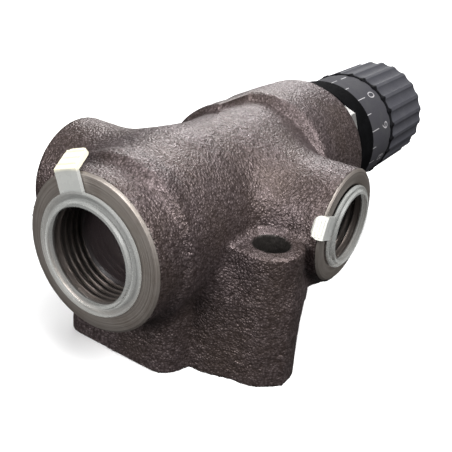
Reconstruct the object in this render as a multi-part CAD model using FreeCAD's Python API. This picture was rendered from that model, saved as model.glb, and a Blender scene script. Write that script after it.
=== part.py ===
"""Pressure-compensated hydraulic flow control valve with a graduated knob.

A cast body lies along Y with a large threaded port at its front end and a smaller one on each
side.  A cartridge screws into the rear head: its spindle carries the knob and turns a slotted
drum inside a fixed sleeve, and a sprung spool in the main bore keeps the flow steady.

Frame: millimetres, +Z up, +Y along the main bore towards the knob.  The origin lies on the
machined base, half way between the two mounting holes and straight under the main bore.
"""
import FreeCAD, Part
import math
import os

V = FreeCAD.Vector

# ---------------------------------------------------------------- body casting
AXIS_HEIGHT = 35.5          # base face to main bore
FRONT_REACH = 43.25         # front port face ahead of the mounting-hole centre
BODY_LENGTH = 95.5          # front port face to head rim
FRONT_BOSS_R = 19.0
FRONT_BOSS_LENGTH = 9.5
BARREL_R = 20.06
HEAD_R = 22.57
HEAD_LENGTH = 27.5
HEAD_STEP = 3.0             # length of the conical step from barrel to head
HEAD_RIM_ROUND = 1.6
SHOULDER_LENGTH = 15.0      # the head's upper left side starts this much further forward
RIM_CHAMFER = 0.5           # machined edge of every port face

# ---------------------------------------------------------------- side bosses
RIGHT_FACE_X = 36.0
RIGHT_PORT_Y = 53.9         # from the front port face
RIGHT_BOSS_R = 14.9
LEFT_FACE_X = 34.1
LEFT_PORT_Y = 30.7
LEFT_BOSS_R = 15.75
BOSS_STRAIGHT = 11.0        # straight length of a side boss before it flares into the barrel
BOSS_FLARE = 2.6            # growth in radius where it meets the barrel

# ---------------------------------------------------------------- foot and lugs
FOOT_HALF_WIDTH = 22.0
FOOT_NARROW_X = 13.5        # the front foot stops here beside the lug
FOOT_FRONT = 12.9           # foot's front wall behind the front port face
FOOT_CORNER_R = 6.0
LUG_X = 27.0                # mounting hole to the vertical plane of the main bore
LUG_Y = 10.75               # mounting hole to the middle of the base, along the bore
LUG_R = 8.0                 # rounded end of the lug at its top
LUG_FLARE = 1.2             # the lug is this much wider all round at the base
LUG_WEB = 20.0              # length of the web that runs back from a lug under its side boss
LUG_WEB_X = 26.0
MOUNT_HOLE_R = 4.5

# ---------------------------------------------------------------- ports
# pipe-thread ports: bore at thread root radius, crest radius, full thread depth
FRONT_THREAD_R = 13.22
FRONT_CREST_R = 12.06
FRONT_THREAD_DEPTH = 16.5
SIDE_THREAD_R = 10.48
SIDE_CREST_R = 9.32
SIDE_THREAD_DEPTH = 15.0
PORT_CHAMFER = 0.8
SIDE_PASSAGE_R = 8.0
DRILL_CONE = 3.0            # length of the drilled cone between thread and passage

# ---------------------------------------------------------------- port caps
CAP_WALL = 0.52
CAP_FLANGE = 1.1            # flange thickness
CAP_LIP = 0.6               # bead round the mouth, height above the flange
CAP_LIP_WIDTH = 0.9
CAP_SEAT_GAP = 0.1          # flange to port face, cup to thread crest
FRONT_FLANGE_R = 14.7
SIDE_FLANGE_R = 10.9
FRONT_CUP_DEPTH = 10.0
SIDE_CUP_DEPTH = 9.0
FRONT_TAB_WIDTH = 6.8
SIDE_TAB_WIDTH = 5.8
TAB_THICK = 0.9
TAB_END_ROUND = 1.8
TAB_RIBS = 3
TAB_RIB = 0.3               # radius of the half-round ribs across the bent end
FRONT_TAB_RETURN = 5.5      # length bent back past the rim
FRONT_TAB_SPRING = 32.0     # angle at which the bent end stands off the boss
FRONT_TAB_ANGLE = 109.5     # round the main bore, from +X towards +Z
SIDE_TAB_RETURN = 2.6
SIDE_TAB_SPRING = 42.0
RIGHT_TAB_ANGLE = 162.0     # round the port, from +Y towards +Z
LEFT_TAB_ANGLE = 20.0

# ---------------------------------------------------------------- main bore and its parts
BORE_R = 11.0
RUNNING = 0.04              # radial clearance of sliding and turning fits
SEAT = 0.1                  # axial gap between stacked faces
RETAINER_AT = 18.2          # positions along the bore are measured from the front port face
RETAINER_WIDTH = 1.0
RETAINER_DEPTH = 0.9        # groove depth in the bore
RETAINER_HEIGHT = 2.4
SPOOL_WALL = 1.06           # round the spring pocket
SPOOL_SHOULDER = 2.9        # step that the spring stands on
SPOOL_FLOOR = 9.0           # front length with the smaller bore
SPOOL_GROOVES = 3
SPOOL_STROKE = 5.0          # free travel before the spool meets the seat ring
WIRE_R = 0.8
SPRING_TURNS = 5
SPRING_GAP = 0.25           # coil to pocket wall
SPRING_LENGTH = 15.0
SEAT_RING_THICK = 1.0

# ---------------------------------------------------------------- cartridge
CAVITY_R = 15.1             # rear cavity, at thread root radius
CAVITY_DEPTH = 21.5
THREAD_GAP = 0.1
SLEEVE_WALL = 2.92
SLEEVE_FLANGE = 3.0
WINDOW_LENGTH = 9.0
WINDOW_HALF_HEIGHT = 4.5
DRUM_WALL = 2.5
DRUM_DEPTH = 15.0
SHAFT_R = 5.0
WASHER_THICK = 0.8
HEX_FLATS = 36.0
HEX_HEIGHT = 5.2
HEX_CORNER_ANGLE = 44.0     # one corner, from +X towards +Z
NECK_R = 12.0
NOSE_LENGTH = 3.5
SLEEVE_GROOVE = 1.5         # seal groove depths
BUSH_GROOVE = 1.6
SHAFT_GROOVE = 1.3
GROOVE_SPARE = 0.6          # groove width beyond its ring's section
RING_PINCH = 0.04           # gap between a ring and the walls it seals on
BACKUP_THICK = 1.0
DOWEL_R = 1.0

# ---------------------------------------------------------------- index ring, dial and knob
INDEX_R = 18.9
INDEX_LENGTH = 9.6
INDEX_GAP = 0.3
DIAL_R = 18.05
DIAL_LENGTH = 16.2
GRIP_R = 18.3
GRIP_LENGTH = 29.1
GRIP_RIDGES = 24
GRIP_FLUTE_DEPTH = 0.75
GRIP_RIDGE_TIP = 0.9        # width of a ridge's rounded crest
RIDGE_PHASE = 1.0
HUB_WALL = 2.95
HUB_FLANGE = 2.5
HUB_FLANGE_STEP = 3.0       # flange radius beyond the hub's
CLAMP_GAP = 0.05            # pieces clamped or bonded together
END_RECESS_R = 13.5
END_RECESS = 3.0
COVER_THICK = 1.2
KNOB_SCREW_R = 2.5
KNOB_SCREW_LENGTH = 12.0
KNOB_SCREW_HEAD_R = 4.4
KNOB_SCREW_HEAD = 3.2
GRUB_R = 2.5
GRUB_ANGLES = (200.0, 290.0)
GRUB_AT = 10.0              # from the front of the grip
DIAL_SCREW_R = 1.5
DIAL_SCREW_HEAD_R = 2.6
DIAL_SCREW_HEAD = 2.2
DIAL_SCREW_GRIP = 7.0       # length that screws into the grip
DIAL_SCREW_COUNT = 3
DIAL_SCREW_CLEAR = 0.35      # screw head to hub bore
STOP_PIN_R = 1.25
STOP_PITCH_R = 15.6
STOP_PIN_OUT = 2.2          # length standing out of the index ring
STOP_PIN_IN = 4.0
STOP_ANGLE = 90.0           # the pin and the index mark are on top
TURN_DOWN = 36.0            # knob travel from the drawn position to the closed stop
TURN_UP = 288.0             # and to the open stop
STOP_SPARE = 1.0            # degrees left beyond each end of travel

# ---------------------------------------------------------------- radii that follow from those above
SPOOL_POCKET_R = BORE_R - RUNNING - SPOOL_WALL
SPOOL_EYE_R = SPOOL_POCKET_R - SPOOL_SHOULDER
SPRING_R = SPOOL_POCKET_R - SPRING_GAP - WIRE_R
SLEEVE_BORE_R = BORE_R - RUNNING - SLEEVE_WALL
DRUM_BORE_R = SLEEVE_BORE_R - RUNNING - DRUM_WALL
HUB_R = SHAFT_R + CLAMP_GAP + HUB_WALL
HUB_FLANGE_R = HUB_R + HUB_FLANGE_STEP
DIAL_SCREW_PITCH_R = HUB_R + CLAMP_GAP + DIAL_SCREW_CLEAR + DIAL_SCREW_HEAD_R
FRONT_CUP_R = FRONT_CREST_R - CAP_SEAT_GAP
SIDE_CUP_R = SIDE_CREST_R - CAP_SEAT_GAP

# ---------------------------------------------------------------- stations along the bore
SPOOL_AT = RETAINER_AT + RETAINER_WIDTH + 0.3
SPRING_AT = SPOOL_AT + SPOOL_FLOOR + SEAT
SEAT_RING_AT = SPRING_AT + SPRING_LENGTH + SEAT
SPOOL_END = SEAT_RING_AT - SPOOL_STROKE - SEAT
SLEEVE_AT = SEAT_RING_AT + SEAT_RING_THICK + SEAT
CAVITY_AT = BODY_LENGTH - CAVITY_DEPTH
SLEEVE_END = CAVITY_AT + SEAT + SLEEVE_FLANGE
BUSH_AT = SLEEVE_END + SEAT
DRUM_END = BUSH_AT - WASHER_THICK - 2 * SEAT
HEX_AT = BODY_LENGTH + SEAT
NECK_AT = HEX_AT + HEX_HEIGHT
INDEX_AT = NECK_AT + INDEX_GAP
INDEX_END = INDEX_AT + INDEX_LENGTH
DIAL_AT = INDEX_END + INDEX_GAP
DIAL_END = DIAL_AT + DIAL_LENGTH
GRIP_AT = DIAL_END + SEAT
GRIP_END = GRIP_AT + GRIP_LENGTH
NOSE_END = INDEX_END + NOSE_LENGTH
HUB_AT = NOSE_END + INDEX_GAP
HUB_END = GRIP_END - END_RECESS - KNOB_SCREW_HEAD - 2 * SEAT
SHAFT_END = HUB_END - 1.0


def along_bore(shape):
    """Lays a shape drawn up local Z from the front port face along the main bore."""
    turn = FreeCAD.Rotation(V(1, 0, 0), -90)
    place = FreeCAD.Placement(V(0, -FRONT_REACH, AXIS_HEIGHT), turn)
    shape.Placement = place.multiply(shape.Placement)
    return shape


def at_right_port(shape):
    """Stands a shape drawn down local Z from a port face in the right port."""
    turn = FreeCAD.Rotation(V(0, 1, 0), V(0, 0, -1), V(-1, 0, 0), "ZXY")
    face = V(RIGHT_FACE_X, RIGHT_PORT_Y - FRONT_REACH, AXIS_HEIGHT)
    shape.Placement = FreeCAD.Placement(face, turn).multiply(shape.Placement)
    return shape


def at_left_port(shape):
    """Stands a shape drawn down local Z from a port face in the left port."""
    turn = FreeCAD.Rotation(V(0, 1, 0), V(0, 0, 1), V(1, 0, 0), "ZXY")
    face = V(-LEFT_FACE_X, LEFT_PORT_Y - FRONT_REACH, AXIS_HEIGHT)
    shape.Placement = FreeCAD.Placement(face, turn).multiply(shape.Placement)
    return shape


def turned(profile):
    """Solid of revolution about local Z from (height, radius) corners."""
    points = [V(radius, 0, height) for height, radius in profile]
    wire = Part.makePolygon(points + [points[0]])
    return Part.Face(wire).revolve(V(0, 0, 0), V(0, 0, 1), 360)


def disc(radius, start, end):
    """Plain cylinder on local Z between two heights."""
    return Part.makeCylinder(radius, end - start, V(0, 0, start))


def ring(outer, inner, start, end):
    """Plain tube on local Z between two heights."""
    return disc(outer, start, end).cut(disc(inner, start - 1, end + 1))


def bevelled_ring(outer, inner, start, end, bevel):
    """Tube on local Z with its two outer edges bevelled."""
    return turned([
        (start, inner), (start, outer - bevel), (start + bevel, outer),
        (end - bevel, outer), (end, outer - bevel), (end, inner),
    ])


def seated_o_ring(floor_r, wall_r, height):
    """Round-section ring that fills a groove between its floor and the wall outside it."""
    section_r = (wall_r - floor_r) / 2 - RING_PINCH
    return Part.makeTorus((wall_r + floor_r) / 2, section_r, V(0, 0, height))


def around(angle):
    """Local X, Y direction that points at an angle from +X towards +Z once laid along the bore."""
    radians = math.radians(angle)
    return V(math.cos(radians), -math.sin(radians), 0)


def rounded_outline(corners, height):
    """Closed wire through (x, y, radius) corners, each rounded by an arc."""
    edges = []
    ends = []
    count = len(corners)
    for i in range(count):
        corner = V(corners[i][0], corners[i][1], height)
        before = V(corners[i - 1][0], corners[i - 1][1], height) - corner
        after = V(corners[(i + 1) % count][0], corners[(i + 1) % count][1], height) - corner
        before.normalize()
        after.normalize()
        half = before.getAngle(after) / 2
        reach = corners[i][2] / math.tan(half)
        middle = before + after
        middle.normalize()
        radius = corners[i][2]
        bow = radius / math.sin(half) - radius
        ends.append((corner + before * reach, corner + middle * bow, corner + after * reach))
    for i in range(count):
        start, mid, finish = ends[i]
        edges.append(Part.Arc(start, mid, finish).toShape())
        edges.append(Part.makeLine(finish, ends[(i + 1) % count][0]))
    return Part.Wire(edges)


def prism(corners, start, end):
    """Upright solid on a rounded outline between two heights."""
    return Part.Face(rounded_outline(corners, start)).extrude(V(0, 0, end - start))


def mirrored_about_base(shape):
    """Copy turned half a turn about the vertical line through the origin."""
    copy = shape.copy()
    copy.rotate(V(0, 0, 0), V(0, 0, 1), 180)
    return copy


# ---------------------------------------------------------------- body
def barrel():
    """Front boss, barrel and head in one turned blank."""
    step = BODY_LENGTH - HEAD_LENGTH
    blank = turned([
        (0, 0), (0, FRONT_BOSS_R - RIM_CHAMFER), (RIM_CHAMFER, FRONT_BOSS_R),
        (FRONT_BOSS_LENGTH, FRONT_BOSS_R), (FRONT_BOSS_LENGTH + 1.0, BARREL_R),
        (step, BARREL_R), (step + HEAD_STEP, HEAD_R),
        (BODY_LENGTH - HEAD_RIM_ROUND, HEAD_R),
        (BODY_LENGTH - HEAD_RIM_ROUND / 3, HEAD_R - HEAD_RIM_ROUND / 3),
        (BODY_LENGTH, HEAD_R - HEAD_RIM_ROUND), (BODY_LENGTH, 0),
    ])
    return along_bore(blank)


def shoulder():
    """Forward reach of the head along its upper left side."""
    step = BODY_LENGTH - HEAD_LENGTH
    start = step - SHOULDER_LENGTH
    sector = Part.Face(Part.makePolygon([
        V(0, 0, start), V(BARREL_R - 1, 0, start), V(HEAD_R - 0.8, 0, start + 3.0),
        V(HEAD_R - 0.2, 0, start + 6.0), V(HEAD_R - 0.2, 0, step + HEAD_STEP + 1.0),
        V(0, 0, step + HEAD_STEP + 1.0), V(0, 0, start),
    ])).revolve(V(0, 0, 0), V(0, 0, 1), 75)
    sector.rotate(V(0, 0, 0), V(0, 0, 1), -180)
    return along_bore(sector)


def side_boss(radius, reach):
    """Round boss drawn inwards from its face, flared where it meets the barrel."""
    flare_end = reach - BARREL_R / 2
    steps = 6
    profile = [(0, 0), (0, radius - RIM_CHAMFER), (RIM_CHAMFER, radius), (BOSS_STRAIGHT, radius)]
    for i in range(1, steps + 1):
        share = i / steps
        height = BOSS_STRAIGHT + (flare_end - BOSS_STRAIGHT) * share
        profile.append((height, radius + BOSS_FLARE * share * share))
    profile += [(reach - 2.0, radius + BOSS_FLARE), (reach - 2.0, 0)]
    return turned(profile)


def foot():
    """Upright foot under the barrel, alike when turned half a turn."""
    back = FRONT_REACH - FOOT_FRONT
    valley = back - 8.6
    corners = [
        (-FOOT_HALF_WIDTH, -back, FOOT_CORNER_R),
        (FOOT_NARROW_X, -back, FOOT_CORNER_R),
        (FOOT_NARROW_X, -valley, 1.0),
        (FOOT_HALF_WIDTH, -valley, 1.0),
        (FOOT_HALF_WIDTH, back, FOOT_CORNER_R),
        (-FOOT_NARROW_X, back, FOOT_CORNER_R),
        (-FOOT_NARROW_X, valley, 1.0),
        (-FOOT_HALF_WIDTH, valley, 1.0),
    ]
    return prism(corners, 0, AXIS_HEIGHT)


def lug():
    """Right mounting lug, drafted so that it widens to the base, with the web behind it."""
    inner = FOOT_NARROW_X - 4.0

    def outline(grow, height):
        front = -LUG_Y - LUG_R - grow
        back = -LUG_Y + LUG_R + grow
        end = LUG_X + LUG_R + grow * 0.7
        round_r = LUG_R - 0.05
        return rounded_outline([
            (inner, front, 0.5), (end, front, round_r), (end, back, round_r), (inner, back, 0.5),
        ], height)

    column = Part.makeLoft([outline(LUG_FLARE, 0), outline(0, AXIS_HEIGHT)], True, True)
    web_front = -LUG_Y
    web_back = RIGHT_PORT_Y - FRONT_REACH + LUG_WEB / 2
    web = prism([
        (inner, web_front, 0.5), (LUG_WEB_X + 6.0, web_front, 1.0),
        (LUG_WEB_X, web_front + LUG_WEB, 5.0), (FOOT_HALF_WIDTH, web_back, 1.0),
        (inner, web_back, 0.5),
    ], 0, AXIS_HEIGHT - RIGHT_BOSS_R / 2)
    return column.fuse(web)


def port_cut(thread_r, depth, passage_r, reach):
    """Chamfered thread bore, drilled cone and passage, drawn inwards from the port face."""
    return turned([
        (-1, 0), (-1, thread_r + PORT_CHAMFER), (0, thread_r + PORT_CHAMFER),
        (PORT_CHAMFER, thread_r), (depth, thread_r), (depth + DRILL_CONE, passage_r),
        (reach, passage_r), (reach, 0),
    ])


def main_cut():
    """Front port, main bore, retaining groove and rear cavity in one turned cut."""
    rear = BODY_LENGTH
    return along_bore(turned([
        (-1, 0), (-1, FRONT_THREAD_R + PORT_CHAMFER), (0, FRONT_THREAD_R + PORT_CHAMFER),
        (PORT_CHAMFER, FRONT_THREAD_R), (FRONT_THREAD_DEPTH, FRONT_THREAD_R),
        (FRONT_THREAD_DEPTH + 1.0, BORE_R), (RETAINER_AT - SEAT, BORE_R),
        (RETAINER_AT - SEAT, BORE_R + RETAINER_DEPTH),
        (RETAINER_AT + RETAINER_WIDTH + SEAT, BORE_R + RETAINER_DEPTH),
        (RETAINER_AT + RETAINER_WIDTH + SEAT, BORE_R), (CAVITY_AT, BORE_R),
        (CAVITY_AT, CAVITY_R), (rear - PORT_CHAMFER, CAVITY_R),
        (rear, CAVITY_R + PORT_CHAMFER), (rear + 1, CAVITY_R + PORT_CHAMFER), (rear + 1, 0),
    ]))


def valve_body():
    """Cast body with all its machining."""
    right_boss = at_right_port(side_boss(RIGHT_BOSS_R, RIGHT_FACE_X))
    left_boss = at_left_port(side_boss(LEFT_BOSS_R, LEFT_FACE_X))
    body = barrel().multiFuse([
        shoulder(), foot(), right_boss, left_boss, lug(), mirrored_about_base(lug()),
    ])
    cuts = [
        main_cut(),
        at_right_port(port_cut(SIDE_THREAD_R, SIDE_THREAD_DEPTH, SIDE_PASSAGE_R, RIGHT_FACE_X)),
        at_left_port(port_cut(SIDE_THREAD_R, SIDE_THREAD_DEPTH, SIDE_PASSAGE_R, LEFT_FACE_X)),
        along_bore(dowel_shape(THREAD_GAP)),
    ]
    for side in (1, -1):
        place = V(side * LUG_X, -side * LUG_Y, -1)
        cuts.append(Part.makeCylinder(MOUNT_HOLE_R, AXIS_HEIGHT + 2, place))
    return body.cut(cuts).removeSplitter()


# ---------------------------------------------------------------- port caps
def cap_tab(flange_r, rim_r, width, length, spring):
    """Pull tab along local X: flat over the port face, then bent back past the rim."""
    top = -CAP_SEAT_GAP - CAP_FLANGE + SEAT
    lean = math.radians(spring)
    along = V(math.sin(lean), 0, math.cos(lean))
    out = V(math.cos(lean), 0, -math.sin(lean))
    half = V(0, width / 2, 0)
    inner = V(rim_r + 0.3, 0, top + TAB_THICK)
    outer = V(inner.x + TAB_THICK * (out.x + along.x * (along.x - 1) / along.z), 0, top)
    root = V(flange_r - 1.5, 0, top)
    flat = Part.Face(Part.makePolygon([
        root - half, outer - half, inner - half, root + V(0, 0, TAB_THICK) - half, root - half,
    ])).extrude(half * 2)
    tip = inner + along * length
    bent = Part.Face(Part.makePolygon([
        inner - half, outer - half, tip + out * TAB_THICK - half, tip - half, inner - half,
    ])).extrude(half * 2)
    corners = [edge for edge in bent.Edges
               if abs(edge.Length - TAB_THICK) < 1e-6 and edge.distToShape(Part.Vertex(tip))[0]
               < width / 2 + 1e-6]
    pieces = [bent.makeFillet(TAB_END_ROUND, corners)]
    for i in range(TAB_RIBS):
        place = inner + along * (length * (i + 0.6) / TAB_RIBS) + out * TAB_THICK
        start = place - half + V(0, TAB_RIB * 2, 0)
        pieces.append(Part.makeCylinder(TAB_RIB, width - 4 * TAB_RIB, start, V(0, 1, 0)))
    return flat.multiFuse(pieces)


def port_cap(cup_r, flange_r, depth, rim_r, tab_width, tab_return, tab_spring, tab_angle):
    """Moulded transit cap: cup in the thread, flange on the face, tab bent back over the rim."""
    opening = cup_r - CAP_WALL
    top = -CAP_SEAT_GAP - CAP_FLANGE
    cup = turned([
        (depth, 0), (depth, cup_r - 0.6), (depth - 0.6, cup_r), (-CAP_SEAT_GAP, cup_r),
        (-CAP_SEAT_GAP, flange_r - 0.3), (-CAP_SEAT_GAP - 0.3, flange_r),
        (top + 0.3, flange_r), (top, flange_r - 0.3), (top, opening + CAP_LIP_WIDTH + 0.3),
        (top - CAP_LIP, opening + CAP_LIP_WIDTH), (top - CAP_LIP, opening + 0.2),
        (top - CAP_LIP + 0.2, opening), (depth - 0.9, opening), (depth - 0.7, opening - 0.2),
        (depth - 0.7, 0),
    ])
    cap = cup.fuse(cap_tab(flange_r, rim_r, tab_width, tab_return, tab_spring))
    cap = cap.removeSplitter().Solids[0]
    cap.rotate(V(0, 0, 0), V(0, 0, 1), tab_angle)
    return cap


def front_port_cap():
    shape = port_cap(FRONT_CUP_R, FRONT_FLANGE_R, FRONT_CUP_DEPTH, FRONT_BOSS_R,
                     FRONT_TAB_WIDTH, FRONT_TAB_RETURN, FRONT_TAB_SPRING, -FRONT_TAB_ANGLE)
    return along_bore(shape)


def right_port_cap():
    shape = port_cap(SIDE_CUP_R, SIDE_FLANGE_R, SIDE_CUP_DEPTH, RIGHT_BOSS_R,
                     SIDE_TAB_WIDTH, SIDE_TAB_RETURN, SIDE_TAB_SPRING, -RIGHT_TAB_ANGLE)
    return at_right_port(shape)


def left_port_cap():
    shape = port_cap(SIDE_CUP_R, SIDE_FLANGE_R, SIDE_CUP_DEPTH, LEFT_BOSS_R,
                     SIDE_TAB_WIDTH, SIDE_TAB_RETURN, SIDE_TAB_SPRING, LEFT_TAB_ANGLE)
    return at_left_port(shape)


# ---------------------------------------------------------------- parts in the main bore
def retaining_ring():
    """Internal snap ring with a gap for fitting it."""
    outer = BORE_R + RETAINER_DEPTH - SEAT
    shape = ring(outer, outer - RETAINER_HEIGHT, RETAINER_AT, RETAINER_AT + RETAINER_WIDTH)
    gap = Part.makeBox(2 * outer, 6.0, 4.0, V(0, -3.0, RETAINER_AT - 1))
    shape = shape.cut(gap)
    return along_bore(shape)


def compensator_spool():
    """Hollow spool with balancing grooves and a pocket for its spring."""
    outer = BORE_R - RUNNING
    end = SPOOL_END
    groove = 0.4
    profile = [(SPOOL_AT, SPOOL_EYE_R), (SPOOL_AT, outer - 0.3), (SPOOL_AT + 0.3, outer)]
    for i in range(SPOOL_GROOVES):
        start = SPOOL_AT + 5.0 + i * 5.0
        profile += [(start, outer), (start, outer - groove),
                    (start + 0.6, outer - groove), (start + 0.6, outer)]
    profile += [
        (end - 0.3, outer), (end, outer - 0.3), (end, SPOOL_POCKET_R),
        (SPOOL_AT + SPOOL_FLOOR, SPOOL_POCKET_R), (SPOOL_AT + SPOOL_FLOOR, SPOOL_EYE_R),
    ]
    return along_bore(turned(profile))


def compensator_spring():
    """Round-wire compression spring, one solid to a turn, each turn meeting the next end to end."""
    pitch = (SPRING_LENGTH - 2 * WIRE_R) / SPRING_TURNS
    section = Part.Wire(Part.makeCircle(WIRE_R, V(SPRING_R, 0, 0), V(0, 1, 0)))
    turn = Part.Wire(Part.makeHelix(pitch, pitch, SPRING_R)).makePipeShell([section], True, True)
    turns = []
    for i in range(SPRING_TURNS):
        copy = turn.copy()
        copy.translate(V(0, 0, SPRING_AT + WIRE_R + pitch * i))
        turns.append(copy)
    return along_bore(Part.makeCompound(turns))


def spring_seat():
    """Flat ring that carries the spring's rear end."""
    shape = ring(BORE_R - SEAT, SLEEVE_BORE_R - 0.5, SEAT_RING_AT, SEAT_RING_AT + SEAT_RING_THICK)
    return along_bore(shape)


# ---------------------------------------------------------------- cartridge
def dowel_shape(grow):
    """Pin that keeps the sleeve's window towards the right port."""
    place = around(270) * ((BORE_R + CAVITY_R) / 2)
    length = 2.5
    start = CAVITY_AT - length - grow
    end = CAVITY_AT + SLEEVE_FLANGE - 0.5 + grow
    return Part.makeCylinder(DOWEL_R + grow, end - start, V(place.x, place.y, start))


def sleeve_dowel():
    return along_bore(dowel_shape(0))


def seal_groove(outer_r, depth, centre, width):
    """Square groove cut round the outside of a shaft."""
    return ring(outer_r + 1, outer_r - depth, centre - width / 2, centre + width / 2)


def sleeve_seal_at():
    return (RIGHT_PORT_Y + SIDE_PASSAGE_R + CAVITY_AT) / 2


def throttle_sleeve():
    """Fixed sleeve with a window that faces the right port."""
    outer = BORE_R - RUNNING
    shape = turned([
        (SLEEVE_AT, SLEEVE_BORE_R), (SLEEVE_AT, outer - 0.4), (SLEEVE_AT + 0.4, outer),
        (CAVITY_AT + SEAT, outer), (CAVITY_AT + SEAT, CAVITY_R - THREAD_GAP),
        (SLEEVE_END, CAVITY_R - THREAD_GAP), (SLEEVE_END, SLEEVE_BORE_R),
    ])
    window = Part.makeBox(outer + 1, 2 * WINDOW_HALF_HEIGHT, WINDOW_LENGTH,
                          V(0, -WINDOW_HALF_HEIGHT, RIGHT_PORT_Y - WINDOW_LENGTH / 2))
    groove = seal_groove(outer, SLEEVE_GROOVE, sleeve_seal_at(), SLEEVE_GROOVE + GROOVE_SPARE)
    return along_bore(shape.cut([window, groove, dowel_shape(THREAD_GAP)]))


def sleeve_o_ring():
    floor_r = BORE_R - RUNNING - SLEEVE_GROOVE
    return along_bore(seated_o_ring(floor_r, BORE_R, sleeve_seal_at()))


def shaft_seal_at():
    return BUSH_AT + 9.0


def throttle_spindle():
    """Slotted drum, sealed shaft and the tapped rear end that carries the knob."""
    drum_r = SLEEVE_BORE_R - RUNNING
    front = SLEEVE_AT + SEAT
    shape = turned([
        (front, DRUM_BORE_R), (front, drum_r), (front + 2.0, drum_r),
        (front + 2.3, drum_r - 0.3), (front + 2.9, drum_r - 0.3), (front + 3.2, drum_r),
        (DRUM_END, drum_r), (DRUM_END, SHAFT_R), (SHAFT_END - 0.6, SHAFT_R),
        (SHAFT_END, SHAFT_R - 0.6), (SHAFT_END, KNOB_SCREW_R),
        (SHAFT_END - KNOB_SCREW_LENGTH + 2.0, KNOB_SCREW_R),
        (SHAFT_END - KNOB_SCREW_LENGTH + 0.6, 0), (front + DRUM_DEPTH + 2.0, 0),
        (front + DRUM_DEPTH, DRUM_BORE_R),
    ])
    slot = Part.makeBox(drum_r + 1, 3.0, WINDOW_LENGTH,
                        V(0, -1.5, RIGHT_PORT_Y - WINDOW_LENGTH / 2))
    taper = Part.Face(Part.makePolygon([
        V(0, -1.4, RIGHT_PORT_Y - WINDOW_LENGTH / 2), V(0, -7.5, RIGHT_PORT_Y),
        V(0, -1.4, RIGHT_PORT_Y + WINDOW_LENGTH / 2), V(0, -1.4, RIGHT_PORT_Y - WINDOW_LENGTH / 2),
    ])).extrude(V(drum_r + 1, 0, 0))
    width = SHAFT_GROOVE + BACKUP_THICK + GROOVE_SPARE
    groove = seal_groove(SHAFT_R, SHAFT_GROOVE, shaft_seal_at(), width)
    return along_bore(shape.cut([slot, taper, groove]))


def spindle_o_ring():
    centre = shaft_seal_at() - BACKUP_THICK / 2 - SEAT
    return along_bore(seated_o_ring(SHAFT_R - SHAFT_GROOVE, SHAFT_R + RUNNING, centre))


def backup_ring():
    start = shaft_seal_at() + (SHAFT_GROOVE - BACKUP_THICK) / 2 + SEAT
    shape = ring(SHAFT_R + RUNNING / 2, SHAFT_R - SHAFT_GROOVE + SEAT, start, start + BACKUP_THICK)
    return along_bore(shape)


def thrust_washer():
    start = DRUM_END + SEAT
    shape = ring(SLEEVE_BORE_R - 0.15, SHAFT_R + RUNNING + 0.1, start, start + WASHER_THICK)
    return along_bore(shape)


def hexagon(flats, start, end):
    """Hexagonal prism on local Z with its outer corners bevelled."""
    corner_r = flats / math.sqrt(3)
    points = []
    for i in range(7):
        points.append(around(HEX_CORNER_ANGLE + 60 * i) * corner_r + V(0, 0, start))
    block = Part.Face(Part.makePolygon(points)).extrude(V(0, 0, end - start))
    bevel = turned([
        (start - 1, 0), (start - 1, corner_r + 1), (end - 1.0, corner_r + 1),
        (end - 1.0, corner_r + 0.1), (end, flats / 2 + 0.4), (end, 0),
    ])
    return block.common(bevel)


def bush_seal_at():
    return BODY_LENGTH - 3.5


def cartridge_bush():
    """Screwed bush: threaded skirt, hexagon, neck for the index ring and nose for the dial."""
    skirt_r = CAVITY_R - THREAD_GAP
    seal = bush_seal_at()
    half = (BUSH_GROOVE + GROOVE_SPARE) / 2
    core = turned([
        (BUSH_AT, SHAFT_R + RUNNING), (BUSH_AT, skirt_r - 1.0), (BUSH_AT + 1.0, skirt_r),
        (seal - half, skirt_r), (seal - half, skirt_r - BUSH_GROOVE),
        (seal + half, skirt_r - BUSH_GROOVE), (seal + half, skirt_r), (HEX_AT, skirt_r),
        (HEX_AT, NECK_R), (INDEX_END, NECK_R), (INDEX_END, HUB_R - CLAMP_GAP),
        (NOSE_END, HUB_R - CLAMP_GAP), (NOSE_END, SHAFT_R + RUNNING),
    ])
    flats = hexagon(HEX_FLATS, HEX_AT, NECK_AT).cut(disc(NECK_R - 1, HEX_AT - 1, NECK_AT + 1))
    return along_bore(core.fuse(flats).removeSplitter())


def bush_o_ring():
    floor_r = CAVITY_R - THREAD_GAP - BUSH_GROOVE
    return along_bore(seated_o_ring(floor_r, CAVITY_R, bush_seal_at()))


# ---------------------------------------------------------------- index ring, dial and knob
def stop_pin_shape(grow):
    place = around(STOP_ANGLE) * STOP_PITCH_R
    start = INDEX_END - STOP_PIN_IN - grow
    end = INDEX_END + INDEX_GAP + STOP_PIN_OUT
    return Part.makeCylinder(STOP_PIN_R + grow, end - start, V(place.x, place.y, start))


def index_ring():
    """Fixed ring on the bush's neck that carries the index mark."""
    shape = bevelled_ring(INDEX_R, NECK_R + CLAMP_GAP, INDEX_AT, INDEX_END, 0.5)
    return along_bore(shape.cut(stop_pin_shape(CLAMP_GAP)))


def stop_pin():
    return along_bore(stop_pin_shape(0))


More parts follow.
